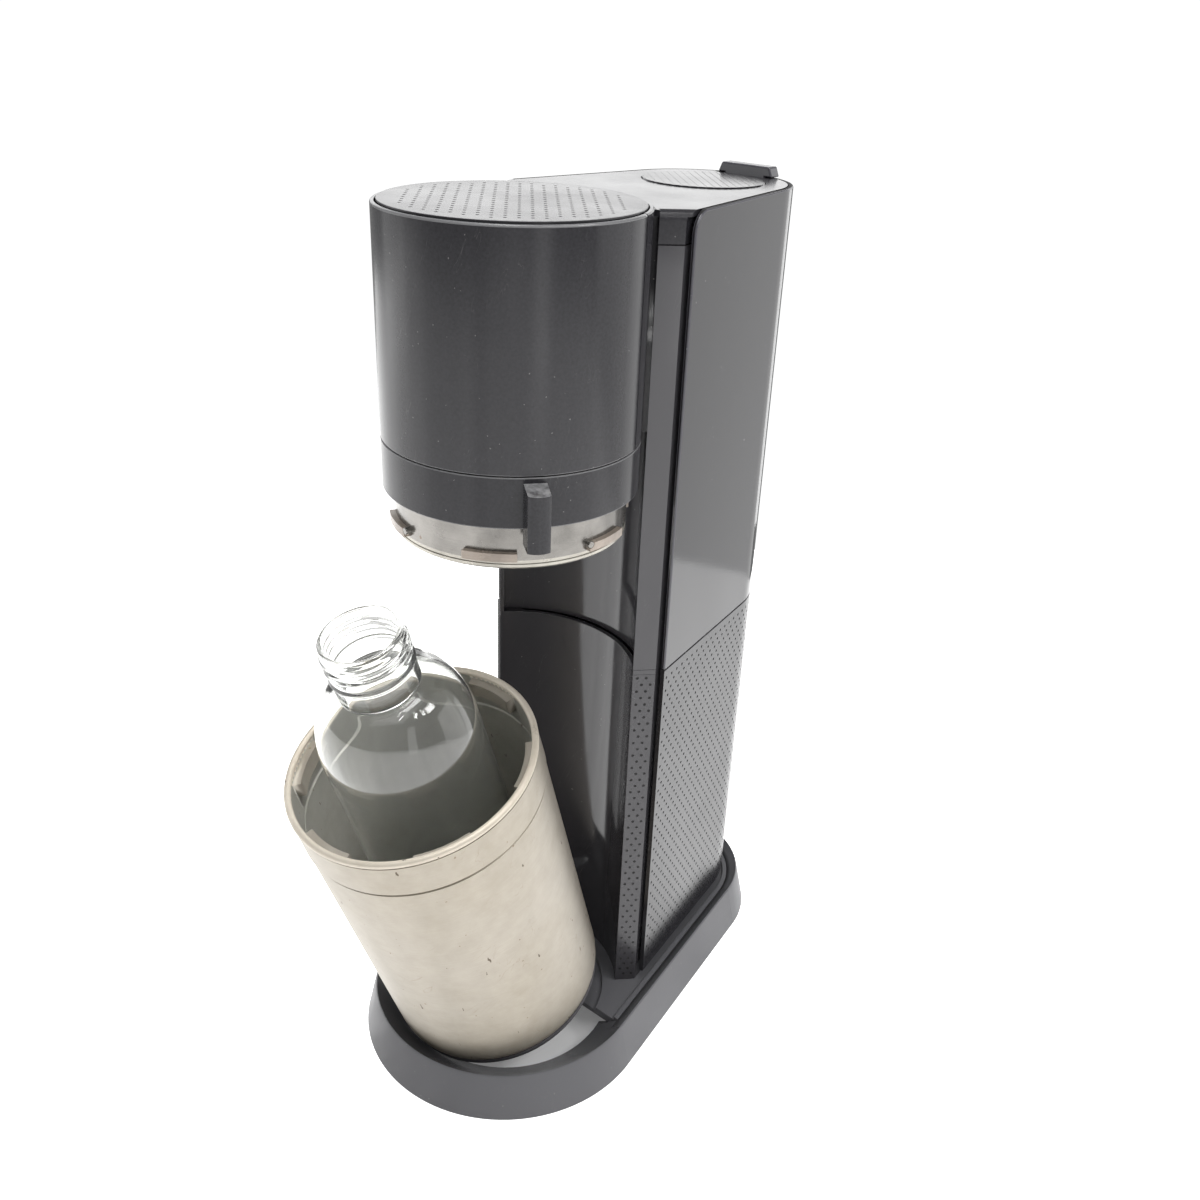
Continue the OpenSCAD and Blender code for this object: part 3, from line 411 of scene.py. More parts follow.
class Tree:
    """Short hand for building one node tree."""

    def __init__(self, tree):
        self.tree = tree

    def add(self, kind, inputs=None, **settings):
        """Adds a node. An input is linked if a socket is given for it, and otherwise set."""
        made = self.tree.nodes.new(kind)
        for key, value in settings.items():
            setattr(made, key, value)
        for key, value in (inputs or {}).items():
            if isinstance(value, bpy.types.NodeSocket):
                self.tree.links.new(value, made.inputs[key])
            else:
                made.inputs[key].default_value = value
        return made

    def maths(self, operation, a, b=0.0):
        return self.add("ShaderNodeMath", {0: a, 1: b}, operation=operation).outputs[0]

    def times(self, a, b):
        return self.maths("MULTIPLY", a, b)

    def vectors(self, operation, a, b=(0, 0, 0)):
        return self.add("ShaderNodeVectorMath", {0: a, 1: b}, operation=operation).outputs[0]

    def far(self, place):
        return self.add("ShaderNodeVectorMath", {0: place}, operation="LENGTH").outputs["Value"]

    def xyz(self, **parts):
        return self.add("ShaderNodeCombineXYZ", parts).outputs[0]

    def span(self, value, low=0.0, high=1.0, start=0.0, end=1.0):
        """Maps a value from one range to another, and keeps it in there."""
        return self.add("ShaderNodeMapRange", {
            "Value": value, "From Min": start, "From Max": end, "To Min": low,
            "To Max": high}).outputs["Result"]

    def noise(self, vector, scale, detail, rough=0.5):
        return self.add("ShaderNodeTexNoise", {
            "Vector": vector, "Scale": scale, "Detail": detail, "Roughness": rough}).outputs


def dot_tree():
    """Staggered cells inside a keep radius, realised, with a material for faces and one for pits that paints shade
    into them.
    """
    if "Staggered dots" in bpy.data.node_groups:
        return bpy.data.node_groups["Staggered dots"]
    tree = bpy.data.node_groups.new("Staggered dots", "GeometryNodeTree")
    tree.interface.new_socket("Geometry", in_out="OUTPUT", socket_type="NodeSocketGeometry")
    for label, kind in (("Cell", "Object"), ("End", "Object"), ("Columns", "Int"), ("Row pairs", "Int"),
                        ("Pitch", "Float"), ("Row step", "Float"), ("Keep radius", "Float"),
                        ("Face material", "Material"), ("Pit material", "Material")):
        tree.interface.new_socket(label, in_out="INPUT", socket_type="NodeSocket" + kind)
    t = Tree(tree)
    given = t.add("NodeGroupInput").outputs
    columns, pairs, pitch = given["Columns"], given["Row pairs"], given["Pitch"]
    pair_step = t.times(given["Row step"], 2.0)
    tall = t.times(t.maths("SUBTRACT", pairs, 1.0), pair_step)
    wide = t.times(t.maths("SUBTRACT", columns, 1.0), pitch)
    edge = t.times(t.times(columns, pitch), 0.5)
    parts = []
    for side in (1.0, -1.0):
        across = t.times(pitch, 0.25 * side)
        up = t.times(given["Row step"], -0.5 * side)
        lowest = t.maths("SUBTRACT", up, t.times(tall, 0.5))
        grid = t.add("GeometryNodeMeshGrid", {
            "Size X": wide, "Size Y": tall, "Vertices X": columns, "Vertices Y": pairs})
        cells = t.add("GeometryNodeTransform", {
            "Geometry": grid.outputs["Mesh"], "Translation": t.xyz(X=across, Y=up)})
        ends = t.add("GeometryNodeMeshLine", {
            "Count": pairs, "Start Location": t.xyz(X=t.times(edge, -side), Y=lowest),
            "Offset": t.xyz(Y=pair_step)})
        for points, shape_name in ((cells, "Cell"), (ends, "End")):
            far = t.far(t.add("GeometryNodeInputPosition").outputs[0])
            outside = t.add("FunctionNodeCompare", {0: far, 1: given["Keep radius"]},
                            data_type="FLOAT", operation="GREATER_THAN")
            kept = t.add("GeometryNodeDeleteGeometry", {
                "Geometry": points.outputs[0], "Selection": outside.outputs[0]}, domain="POINT")
            shape = t.add("GeometryNodeObjectInfo", {"Object": given[shape_name]})
            parts.append(t.add("GeometryNodeInstanceOnPoints", {
                "Points": kept.outputs[0], "Instance": shape.outputs["Geometry"]}).outputs[0])
    together = t.add("GeometryNodeJoinGeometry")
    for part in parts:
        tree.links.new(part, together.inputs[0])
    real = t.add("GeometryNodeRealizeInstances", {0: together.outputs[0]})
    plain = t.add("GeometryNodeSetMaterial", {
        "Geometry": real.outputs[0], "Material": given["Face material"]})
    # The pits get the pit material: painted shade.
    pit = t.add("GeometryNodeInputNamedAttribute", {"Name": "pit"}, data_type="BOOLEAN")
    dark = t.add("GeometryNodeSetMaterial", {
        "Geometry": plain.outputs[0], "Selection": pit.outputs["Attribute"],
        "Material": given["Pit material"]})
    t.add("NodeGroupOutput", {0: dark.outputs[0]})
    return tree


def dot_sheet(name, columns, row_pairs, pitch, depth, finishes, keep=KEEP_ALL):
    """Flat sheet of staggered dots about the origin, in one finish for its face and one for its pits that paints
    shade into them.
    """
    d = sizes().dots
    order = [material(finish) for finish in finishes]
    cell = dot_tile(name + "_cell", pitch, d.row_step, d.radius, depth)
    end = plain_tile(name + "_end", pitch / 2, d.row_step)
    carrier = new_object(name, bpy.data.meshes.new(name))
    tree = dot_tree()
    modifier = carrier.modifiers.new("Staggered dots", "NODES")
    modifier.node_group = tree
    given = {"Cell": cell, "End": end, "Columns": columns, "Row pairs": row_pairs, "Pitch": pitch,
             "Row step": d.row_step, "Keep radius": keep, "Face material": order[0],
             "Pit material": order[1]}
    for item in tree.interface.items_tree:
        if item.in_out == "INPUT":
            modifier[item.identifier] = given[item.name]
    mesh = flattened(carrier).data
    for thing in (carrier, cell, end):
        bpy.data.objects.remove(thing)
    bm = bmesh.new()
    bm.from_mesh(mesh)
    merge(bm)
    index_of = [order.index(one) if one else 0 for one in mesh.materials]
    for polygon in bm.faces:
        polygon.material_index = index_of[polygon.material_index]
    return bm


def dotted_piece(node, bm, finishes):
    """Stands in for a CAD node with a dotted shape."""
    bmesh.ops.recalc_face_normals(bm, faces=bm.faces)
    piece = new_object(node + "_dressed", mesh_from(bm, node + "_dressed"))
    dress(soften(piece, 0), node, *finishes)


# Shader groups and materials

def group(name, inputs, output, fill):
    """Builds a shader node group with one output, once. Inputs without a value are vectors."""
    if name in bpy.data.node_groups:
        return bpy.data.node_groups[name]
    tree = bpy.data.node_groups.new(name, "ShaderNodeTree")
    for label, value in inputs.items():
        kind = "NodeSocketVector" if value is None else "NodeSocketFloat"
        made = tree.interface.new_socket(label, in_out="INPUT", socket_type=kind)
        if value is not None:
            made.default_value = value
    tree.interface.new_socket(output, in_out="OUTPUT", socket_type="NodeSocketFloat")
    t = Tree(tree)
    t.add("NodeGroupOutput", {output: fill(t, t.add("NodeGroupInput").outputs)})
    return tree


def speck_group():
    """Small separate specks, as a mask."""
    def fill(t, given):
        wave = t.noise(given["Vector"], t.times(given["Scale"], 5.0), 2.0)
        uneven = t.add("ShaderNodeVectorMath", {
            0: t.vectors("SUBTRACT", wave["Color"], (0.5, 0.5, 0.5)),
            "Scale": t.maths("DIVIDE", given["Warp"], given["Scale"])}, operation="SCALE")
        place = t.vectors("ADD", given["Vector"], uneven.outputs[0])
        cells = t.add("ShaderNodeTexVoronoi", {
            "Vector": place, "Scale": given["Scale"], "Randomness": 1.0}).outputs
        pick = t.add("ShaderNodeTexWhiteNoise", {"Vector": cells["Position"]})
        near = t.maths("LESS_THAN", cells["Distance"], given["Size"])
        some = t.maths("LESS_THAN", pick.outputs["Value"], given["Share"])
        return t.times(near, some)
    given = {"Vector": None, "Scale": 300.0, "Size": 0.2, "Share": 0.1, "Warp": 0.3}
    return group("Specks", given, "Mask", fill)


def mottle_group():
    """Soft cloudy change between 0 and 1."""
    def fill(t, given):
        cloud = t.noise(given["Vector"], given["Scale"], 5.0, 0.6)["Fac"]
        return t.span(cloud, start=0.3, end=0.7)
    return group("Mottle", {"Vector": None, "Scale": 20.0}, "Value", fill)


def scratch_group():
    """Thin broken lines along the first axis of the vector."""
    def fill(t, given):
        long_way = t.vectors("MULTIPLY", given["Vector"], (0.06, 1.0, 1.0))
        lines = t.noise(long_way, given["Scale"], 3.0, 0.55)["Fac"]
        edge = t.maths("ABSOLUTE", t.maths("SUBTRACT", lines, 0.5))
        thin = t.span(edge, 1.0, 0.0, end=given["Width"])
        gate = t.span(t.noise(given["Vector"], 60.0, 2.0)["Fac"], start=0.5, end=0.68)
        return t.times(thin, gate)
    return group("Scratches", {"Vector": None, "Scale": 220.0, "Width": 0.02}, "Mask", fill)


def brush_group():
    """Fine brushed grain round an axis, from a vector about that axis."""
    def fill(t, given):
        split = t.add("ShaderNodeSeparateXYZ", {0: given["Vector"]}).outputs
        turn = t.maths("ARCTAN2", split["Y"], split["X"])
        flat = t.xyz(X=t.times(turn, given["Round"]), Y=t.times(split["Z"], given["Along"]))
        return t.noise(flat, 1.0, 4.0, 0.6)["Fac"]
    return group("Brushed grain", {"Vector": None, "Round": 3.0, "Along": 2500.0}, "Value", fill)


def scaled(colour, share):
    """A colour made lighter or darker."""
    return [share * part for part in colour]


class Finish:
    """One material: Principled shader with mixed colours, roughness and bump."""

    def __init__(self, name, colour, rough, metallic=0.0, **sockets):
        self.material = bpy.data.materials.new(name)
        self.material.use_nodes = True
        self.t = Tree(self.material.node_tree)
        self.shader = self.material.node_tree.nodes["Principled BSDF"]
        self.colour = (*colour, 1)
        self.place = self.t.add("ShaderNodeTexCoord").outputs["Object"]
        given = {"Base Color": self.colour, "Roughness": rough, "Metallic": metallic, **sockets}
        for key, value in given.items():
            self.shader.inputs[key].default_value = value

    def link(self, source, key):
        self.t.tree.links.new(source, self.shader.inputs[key])

    def mapped(self, location=(0, 0, 0), rotation=(0, 0, 0), scale=(1, 1, 1), vector=None):
        return self.t.add("ShaderNodeMapping", {
            "Vector": vector or self.place, "Location": location, "Rotation": rotation,
            "Scale": scale}).outputs[0]

    def use(self, tree, vector=None, **values):
        given = {"Vector": vector or self.place, **{key.title(): value for key, value in values.items()}}
        return self.t.add("ShaderNodeGroup", given, node_tree=tree).outputs[0]

    def specks(self, vector=None, **values):
        return self.use(speck_group(), vector, **values)

    def mottle(self, scale, vector=None):
        return self.use(mottle_group(), vector, scale=scale)

    def scratches(self, rotation, **values):
        return self.use(scratch_group(), self.mapped(rotation=rotation), **values)

    def tinted(self, mask, colour, share):
        """Mixes a colour over what is there, by a mask."""
        mix = self.t.add("ShaderNodeMix", {
            0: self.t.times(mask, share), 6: self.colour, 7: (*colour, 1)}, data_type="RGBA")
        self.colour = mix.outputs[2]
        self.link(self.colour, "Base Color")

    def roughened(self, value, low, high):
        self.link(self.t.span(value, low, high), "Roughness")

    def bumped(self, value, strength, distance):
        self.link(self.t.add("ShaderNodeBump", {
            "Height": value, "Strength": strength, "Distance": distance}).outputs[0], "Normal")


def cover_finish(name, colour, low, high, dust, grain=0.02, shine=0.5, fine=0.0):
    """Moulded plastic with faint mottling, dust specks and fine scratches, and a fine grain if asked."""
    made = Finish(name, colour, low, **{"Specular IOR Level": shine})
    c = sizes().colours
    if fine:
        made.tinted(made.mottle(850.0), scaled(colour, 3.0), fine)
    made.tinted(made.specks(scale=420.0, size=0.11, share=dust), c.dust, 0.35)
    other = made.mapped(location=(0.3, 0.1, 0.2))
    made.tinted(made.specks(other, scale=120.0, size=0.035, share=dust), c.dust, 0.5)
    made.tinted(made.scratches((0.4, 1.2, 0.3), scale=160.0, width=0.004), c.dust, 0.12)
    made.roughened(made.mottle(28.0), low, high)
    made.bumped(made.mottle(900.0), grain, 0.2 * MM)
    return made.material


def rubbed_finish(name):
    """Charcoal plastic worn pale in strokes."""
    c = sizes().colours
    made = Finish(name, c.charcoal, 0.4)
    strokes = made.scratches((0, 0, 0.9), scale=260.0, width=0.12)
    made.tinted(made.mottle(260.0), (0.36, 0.36, 0.365), 0.9)
    made.tinted(strokes, c.dust, 0.9)
    made.roughened(strokes, 0.35, 0.6)
    made.bumped(strokes, 0.1, 0.2 * MM)
    return made.material


def metal_finish(name, colour, low, high):
    """Turned or rolled metal with cloudy roughness and fine lines."""
    made = Finish(name, colour, low, 1.0)
    lines = made.scratches((0.2, 0.1, 0.5), scale=900.0, width=0.03)
    made.tinted(lines, scaled(colour, 0.55), 0.3)
    made.roughened(made.mottle(45.0), low, high)
    made.bumped(lines, 0.08, 0.1 * MM)
    return made.material


def canister_place():
    """From the canister's own axes, at the middle of its steel bottom, to the frame."""
    c = sizes().canister
    low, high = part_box("canister_rim")
    run = c.height - c.bead
    across = c.rim - c.bead
    y = low.y + run * sin(c.tilt) + across * cos(c.tilt) + c.bead
    z = high.z - run * cos(c.tilt) - across * sin(c.tilt) - c.bead
    return Matrix.Translation((HEAD_AXIS.x, y, z)) @ Matrix.Rotation(c.tilt, 4, "X")


def canister_finish(name, steel, low, high, metallic):
    """Warm brushed steel with pits, brown scratches and a cloudy bloom."""
    c = sizes().colours
    made = Finish(name, steel, low, metallic)
    away = canister_place().inverted()
    own = made.mapped(location=away.to_translation(), rotation=away.to_euler())
    grain = made.use(brush_group(), own, round=4.0, along=2600.0)
    bloom = [part * share for part, share in zip(steel, (0.74, 0.70, 0.58))]
    made.tinted(made.mottle(16.0, own), bloom, 0.6)
    made.tinted(made.mottle(110.0, own), scaled(steel, 1.3), 0.4)
    made.tinted(grain, scaled(steel, 0.66), 0.4)
    dashes = made.mapped(rotation=(0.5, 0.4, 0), scale=(1, 1, 0.35), vector=own)
    made.tinted(made.specks(dashes, scale=130.0, size=0.075, share=0.55), scaled(c.stain, 0.4), 0.85)
    other = made.mapped(location=(0.4, 0.2, 0.1))
    made.tinted(made.specks(other, scale=300.0, size=0.14, share=0.06), c.stain, 0.7)
    made.tinted(made.scratches((0.5, 0.9, 0.2), scale=70.0, width=0.006), c.stain, 0.3)
    made.roughened(grain, low, high)
    made.bumped(grain, 0.12, 0.1 * MM)
    return made.material


def collar_finish(name, colour, metallic):
    """Dull collar metal with stains and rubbed lines round the axis."""
    made = Finish(name, colour, 0.3, metallic)
    grain = made.use(brush_group(), made.mapped(location=-HEAD_AXIS), round=5.0, along=1500.0)
    made.tinted(made.mottle(70.0), scaled(colour, 0.4), 0.8)
    made.tinted(made.mottle(35.0, made.mapped(location=(0.5, 0.1, 0.3))), scaled(colour, 1.6), 0.6)
    made.tinted(grain, scaled(colour, 0.55), 0.5)
    made.tinted(made.specks(scale=240.0, size=0.22, share=0.05), sizes().colours.stain, 0.6)
    made.roughened(made.mottle(110.0), 0.12, 0.3)
    made.bumped(grain, 0.2, 0.1 * MM)
    return made.material


def glass_finish(name):
    """Clear glass with a faint green in its thickness and a few smears."""
    made = Finish(name, sizes().colours.glass, 0.0, **{"IOR": 1.5, "Transmission Weight": 0.985})
    made.roughened(made.mottle(35.0), 0.0, 0.035)
    return made.material


def finish_table():
    """Maker and settings of each finish."""
    c = sizes().colours
    return {
        "head_charcoal": (cover_finish, dict(
            colour=c.charcoal, low=0.17, high=0.23, dust=0.10, shine=0.40, fine=0.3)),
        "ring_charcoal": (cover_finish, dict(
            colour=c.charcoal, low=0.16, high=0.24, dust=0.12, shine=0.32, fine=0.3)),
        "cover_charcoal": (cover_finish, dict(colour=c.charcoal, low=0.06, high=0.1, dust=0.05)),
        "dotted_charcoal": (cover_finish, dict(colour=c.charcoal, low=0.2, high=0.28, dust=0.06)),
        "button_charcoal": (cover_finish, dict(colour=c.charcoal, low=0.2, high=0.28, dust=0.08)),
        "gloss_black": (cover_finish, dict(colour=c.gloss, low=0.07, high=0.13, dust=0.04, grain=0.01)),
        "pillar_black": (cover_finish, dict(colour=c.gloss, low=0.22, high=0.3, dust=0.05)),
        "rubbed_charcoal": (rubbed_finish, dict()),
        "flange_metal": (collar_finish, dict(colour=(0.5, 0.475, 0.42), metallic=0.5)),
        "lug_metal": (collar_finish, dict(colour=(0.44, 0.37, 0.31), metallic=0.1)),
        # Painted highlight along rounded edges: charcoal made four times lighter.
        "edge_charcoal": (cover_finish, dict(colour=scaled(c.charcoal, 4), low=0.2, high=0.3, dust=0.1)),
        # Painted highlight along rims and rounded edges: a pale grey.
        "rim_charcoal": (cover_finish, dict(colour=(0.16, 0.16, 0.165), low=0.2, high=0.3, dust=0.1)),
        # Painted shade: near-black for the dots' pits and for the strip along the upper cover's top.
        "pit_dark": (cover_finish, dict(colour=scaled(c.gloss, 0.08), low=0.6, high=0.8, dust=0.0)),
        "handle_grey": (cover_finish, dict(colour=(0.175, 0.175, 0.184), low=0.3, high=0.4, dust=0.05)),
        "base_grey": (cover_finish, dict(
            colour=c.base, low=0.3, high=0.4, dust=0.05, grain=0.06, shine=0.2)),
        # Glossier dish finish, darker than the base by painted shade.
        "dish_grey": (cover_finish, dict(
            colour=scaled(c.base, 0.7), low=0.18, high=0.26, dust=0.05, grain=0.03, shine=0.35)),
        "rubber": (cover_finish, dict(colour=c.gloss, low=0.55, high=0.75, dust=0.02, grain=0.15)),
        "white_plastic": (cover_finish, dict(
            colour=(0.72, 0.72, 0.69), low=0.35, high=0.5, dust=0.0, grain=0.05)),
        "canister_steel": (canister_finish, dict(steel=c.steel, low=0.36, high=0.52, metallic=0.75)),
        "rim_steel": (canister_finish, dict(steel=scaled(c.steel, 1.75), low=0.35, high=0.5, metallic=0.3)),
        "tab_steel": (canister_finish, dict(steel=scaled(c.steel, 0.9), low=0.35, high=0.5, metallic=0.3)),
        "collar_metal": (collar_finish, dict(colour=c.collar, metallic=0.75)),
        "inside_steel": (canister_finish, dict(steel=c.inside, low=0.3, high=0.45, metallic=0.3)),
        "inner_steel": (metal_finish, dict(colour=(0.42, 0.42, 0.42), low=0.25, high=0.4)),
        "cylinder_alu": (metal_finish, dict(colour=(0.48, 0.48, 0.495), low=0.35, high=0.5)),
        "brass": (metal_finish, dict(colour=(0.72, 0.52, 0.24), low=0.25, high=0.4)),
        "clear_glass": (glass_finish, dict()),
    }


def material(name):
    """Finishes by name, each made once."""
    if name in bpy.data.materials and bpy.data.materials[name].get("finish"):
        return bpy.data.materials[name]
    maker, settings = finish_table()[name]
    made = maker(name, **settings)
    made["finish"] = True
    return made


# Operators

class WATERMAKER_OT_stage(bpy.types.Operator):
    """Camera at the photograph's place, white floor, soft boxes and a white surround"""
    bl_idname = "watermaker.stage"
    bl_label = "Stage"

    def execute(self, context):
        scene = context.scene
        scene.camera = self.camera()
        self.floor()
        scene.world = self.surround()
        scene.view_settings.view_transform = "Standard"
        scene.view_settings.look = "None"
        for box in SOFT_BOXES:
            self.soft_box(*box)
        return {"FINISHED"}

    def camera(self):
        """Camera where the photograph was taken from."""
        yaw, pitch, roll = CAMERA_TURN
        ahead = Vector((-sin(yaw) * cos(pitch), cos(yaw) * cos(pitch), -sin(pitch)))
        level = Vector((cos(yaw), sin(yaw), 0))
        above = level.cross(ahead)
        right = level * cos(roll) + above * sin(roll)
        up = above * cos(roll) - level * sin(roll)
        lens = bpy.data.cameras.new("camera")
        lens.sensor_width = SENSOR_WIDTH
        lens.lens = FOCAL_LENGTH
        camera = new_object("camera", lens)
        place = Matrix((right, up, -ahead)).transposed().to_4x4()
        place.translation = HEAD_AXIS + CAMERA_PLACE
        camera.matrix_world = place
        return camera

    def floor(self):
        """Pale floor whose glow is shaded inside the base, weak on rough faces and mirrored in streaks."""
        made = Finish("pale_floor", (0.8, 0.8, 0.8), 0.9, **{"Emission Strength": FLOOR_GLOW})
        made.roughened(made.mottle(3.0), 0.85, 0.95)
        t = made.t
        spot = made.mapped(location=-HEAD_AXIS)
        shade = t.span(t.far(spot), OPENING_SHADE, 1.0, OPENING_EDGE, OPENING_FADE)
        streaks = t.span(made.mottle(STREAK_SCALE, t.vectors("NORMALIZE", spot)), STREAK_LOW, STREAK_HIGH)
        path = t.add("ShaderNodeLightPath").outputs
        sharp = t.maths("MAXIMUM", path["Is Camera Ray"], path["Is Glossy Ray"])
        sharp = t.maths("MAXIMUM", sharp, path["Is Transmission Ray"])
        mirrored = t.add("ShaderNodeMix", {0: path["Is Glossy Ray"], 2: 1.0, 3: streaks}, data_type="FLOAT")
        glow = t.times(shade, t.span(sharp, FLOOR_BOUNCE))
        made.link(t.times(glow, mirrored.outputs[0]), "Emission Color")
        bm = bmesh.new()
        bm.faces.new([bm.verts.new((x, y, 0)) for x, y in FLOOR_CORNERS])
        ground = new_object("floor", mesh_from(bm, "floor"))
        ground.data.materials.append(made.material)

    def surround(self):
        """White all round, brighter to the eye than in the light that it gives."""
        world = bpy.data.worlds.new("white_surround")
        world.use_nodes = True
        t = Tree(world.node_tree)
        path = t.add("ShaderNodeLightPath").outputs
        through = t.times(path["Is Transmission Ray"], SURROUND_THROUGH_GLASS)
        seen = t.maths("MAXIMUM", path["Is Camera Ray"], through)
        backdrop = t.tree.nodes["Background"].inputs
        backdrop["Color"].default_value = (1, 1, 1, 1)
        t.tree.links.new(t.span(seen, SURROUND_LIGHT, SURROUND_SEEN), backdrop["Strength"])
        return world

    def soft_box(self, name, az, lift, far, width, height, glow):
        """Rectangle of light that faces the part."""
        lamp = bpy.data.lights.new(name, "AREA")
        lamp.shape = "RECTANGLE"
        lamp.size, lamp.size_y = width, height
        lamp.energy = glow * pi * width * height
        box = new_object(name, lamp)
        turn = radians(az)
        box.location = HEAD_AXIS + Vector((far * sin(turn), -far * cos(turn), lift))
        box.rotation_euler = (HEAD_AXIS + BOX_AIM - box.location).to_track_quat("-Z", "Y").to_euler()


class WATERMAKER_OT_base(bpy.types.Operator):
    """Base ring with its dish, the deck, the bottom plate and the feet"""
    bl_idname = "watermaker.base"
    bl_label = "Base"

    def execute(self, context):
        self.ring()
        rounded_node("deck_tray", 0.5 * MM, "base_grey")
        rounded_node("base_plate", 0.4 * MM, "base_grey")
        rounded_node("base_feet", 0.4 * MM, "rubber")
        return {"FINISHED"}

    def ring(self):
        """Teardrop ring, matt outside and glossier in its dish, whose inward and sunk faces at the front are also
        darkened by painted shade.
        """
        _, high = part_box("base_frame")
        dish_end, rim = 40 * MM, 2 * MM
        piece = soften(joined_copy("base_frame"), 0)
        # Inward-facing and sunk faces at the front get the second finish: glossier, with painted shade.
        for face in piece.data.polygons:
            spot = face.center - HEAD_AXIS
            facing = face.normal.dot(outward(spot))
            sunk = face.normal.z > UPWARD and face.center.z < high.z - rim and facing < LEVEL
            face.material_index = 1 if (facing < -0.05 or sunk) and spot.y < dish_end else 0
        dress(piece, "base_frame", "base_grey", "dish_grey")


class WATERMAKER_OT_tower(bpy.types.Operator):
    """Front shells with dotted pillars, top cover, vent cap and back handle"""
    bl_idname = "watermaker.tower"
    bl_label = "Tower"

    def execute(self, context):
        rounded_node("upper_front_shell", 0.35 * MM, "gloss_black")
        self.lower_shell()
        rounded_node("top_cover", 0.4 * MM, "head_charcoal")
        self.vent()
        # The handle's rounded edges take the second finish, a painted highlight.
        rounded_node("back_handle", 0.8 * MM, "handle_grey", "edge_charcoal")
        return {"FINISHED"}

    def vent(self):
        """Vent cap that stands a little proud, with shallow grooves."""
        cap = joined_copy("vent_cap")
        top = max(v.co.z for v in cap.data.vertices)
        foot = min(v.co.z for v in cap.data.vertices)
        proud, groove = 0.35 * MM, 0.1 * MM
        for v in cap.data.vertices:
            if v.co.z > top - 0.01 * MM:
                v.co.z = top + proud
            elif v.co.z > foot + 0.01 * MM:
                v.co.z = top + proud - groove
        dress(soften(cap, 0), "vent_cap", "head_charcoal")

    def lower_shell(self):
        """Lower shell with a thin dotted face on each pillar."""
        o, d = sizes().outline, sizes().dots
        shell = soften(joined_copy("lower_front_shell"), 0.35 * MM)
        low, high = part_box("lower_front_shell")
        az, turn = radians(131), radians(47.1)  # inner edge of a pillar's face, and the way that it faces
        inner = o.recess * Vector((sin(az), -cos(az), 0))
        along = Vector((cos(turn), sin(turn), 0))
        ahead = Vector((sin(turn), -cos(turn), 0))
        pairs = int((high.z - low.z - 2 * MM) / (2 * d.row_step))
        proud, shallow, root = 0.16 * MM, 0.11 * MM, 0.5 * MM
        # The second finish paints shade into the pits.
        finishes = ("pillar_black", "pit_dark")
        flat = dot_sheet("pillar_dots", 2, pairs, d.pillar_pitch, shallow, finishes)
        for face in flat.faces:
            face.material_index += 1
        skirt = bmesh.ops.extrude_edge_only(flat, edges=open_edges(flat))["geom"]
        for v in skirt:
            if isinstance(v, bmesh.types.BMVert):
                v.co.z -= root
        bmesh.ops.holes_fill(flat, edges=open_edges(flat))
        bm = bmesh.new()
        bm.from_mesh(shell.data)
        for side in (1, -1):
            face = flat.copy()
            for v in face.verts:
                across = o.pillar_width / 2 + v.co.x
                point = HEAD_AXIS + inner + along * across + ahead * (proud + v.co.z)
                point.z = (low.z + high.z) / 2 + v.co.y
                v.co = Vector((side * point.x, point.y, point.z))
            bmesh.ops.recalc_face_normals(face, faces=face.faces)
            bm.from_mesh(mesh_from(face, "pillar_face"))
        flat.free()
        shell.data = mesh_from(bm, "lower_front_shell_dressed")
        dress(shell, "lower_front_shell", "gloss_black", *finishes)


class WATERMAKER_OT_back_cover(bpy.types.Operator):
    """Gloss upper cover and dotted lower cover"""
    bl_idname = "watermaker.back_cover"
    bl_label = "Back cover"

    def execute(self, context):
        self.upper_cover()
        self.lower_cover()
        return {"FINISHED"}

    def upper_cover(self):
        """Gloss wall with a painted highlight on its rounded edges, and a strip of painted shade along its top
        where the gap under the lid falls in shadow.
        """
        _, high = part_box("back_cover_upper")
        edge, shade_strip = 0.9 * MM, 1.2 * MM
        # The rounded edges take the second finish, a painted highlight.
        piece = soften(joined_copy("back_cover_upper", "cover_charcoal", "edge_charcoal", "pit_dark"), edge)
        # Top faces that do not face outwards get the third finish, painted shade.
        for face in piece.data.polygons:
            facing = face.normal.dot(outward(face.center - HEAD_AXIS))
            if face.center.z > high.z - shade_strip and facing < 0.3:
                face.material_index = 2
        dress(piece, "back_cover_upper")

    def lower_cover(self):
        """Wall whose outside is a sheet of dots, bent round the tower."""
        o, d = sizes().outline, sizes().dots
        low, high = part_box("back_cover_lower")
        total, _ = wrap_length()
        columns = round(total / d.cover_pitch - 0.5)
        pitch = total / (columns + 0.5)
        pairs = int((high.z - low.z - 2 * MM) / (2 * d.row_step))
        # The second finish paints shade into the pits.
        finishes = ("dotted_charcoal", "pit_dark")
        flat = dot_sheet("cover_dots", columns, pairs, pitch, d.depth, finishes)
        middle = (low.z + high.z) / 2
        half = pairs * d.row_step
        for v in flat.verts:
            s = min(max(v.co.x + total / 2, 0), total)
            point, normal = wrap_point(s, 0)
            v.co = Vector((point.x, point.y, middle + v.co.y)) + normal * v.co.z
        edge = 0.5 * MM
        section = [(0, middle - half), (0, low.z + edge), (edge, low.z), (o.wall, low.z), (o.wall, high.z),
                   (edge, high.z), (0, high.z - edge), (0, middle + half)]
        steps = 2 * columns + 1
        rings = [[wrap_point(total * step / steps, inset)[0] + Vector((0, 0, z)) for step in range(steps + 1)]
                 for inset, z in section]
        flat.from_mesh(mesh_from(loft(rings, ring_closed=False, stack_closed=False), "cover_rest"))
        merge(flat, 5e-6)
        bmesh.ops.holes_fill(flat, edges=open_edges(flat))
        dotted_piece("back_cover_lower", flat, finishes)


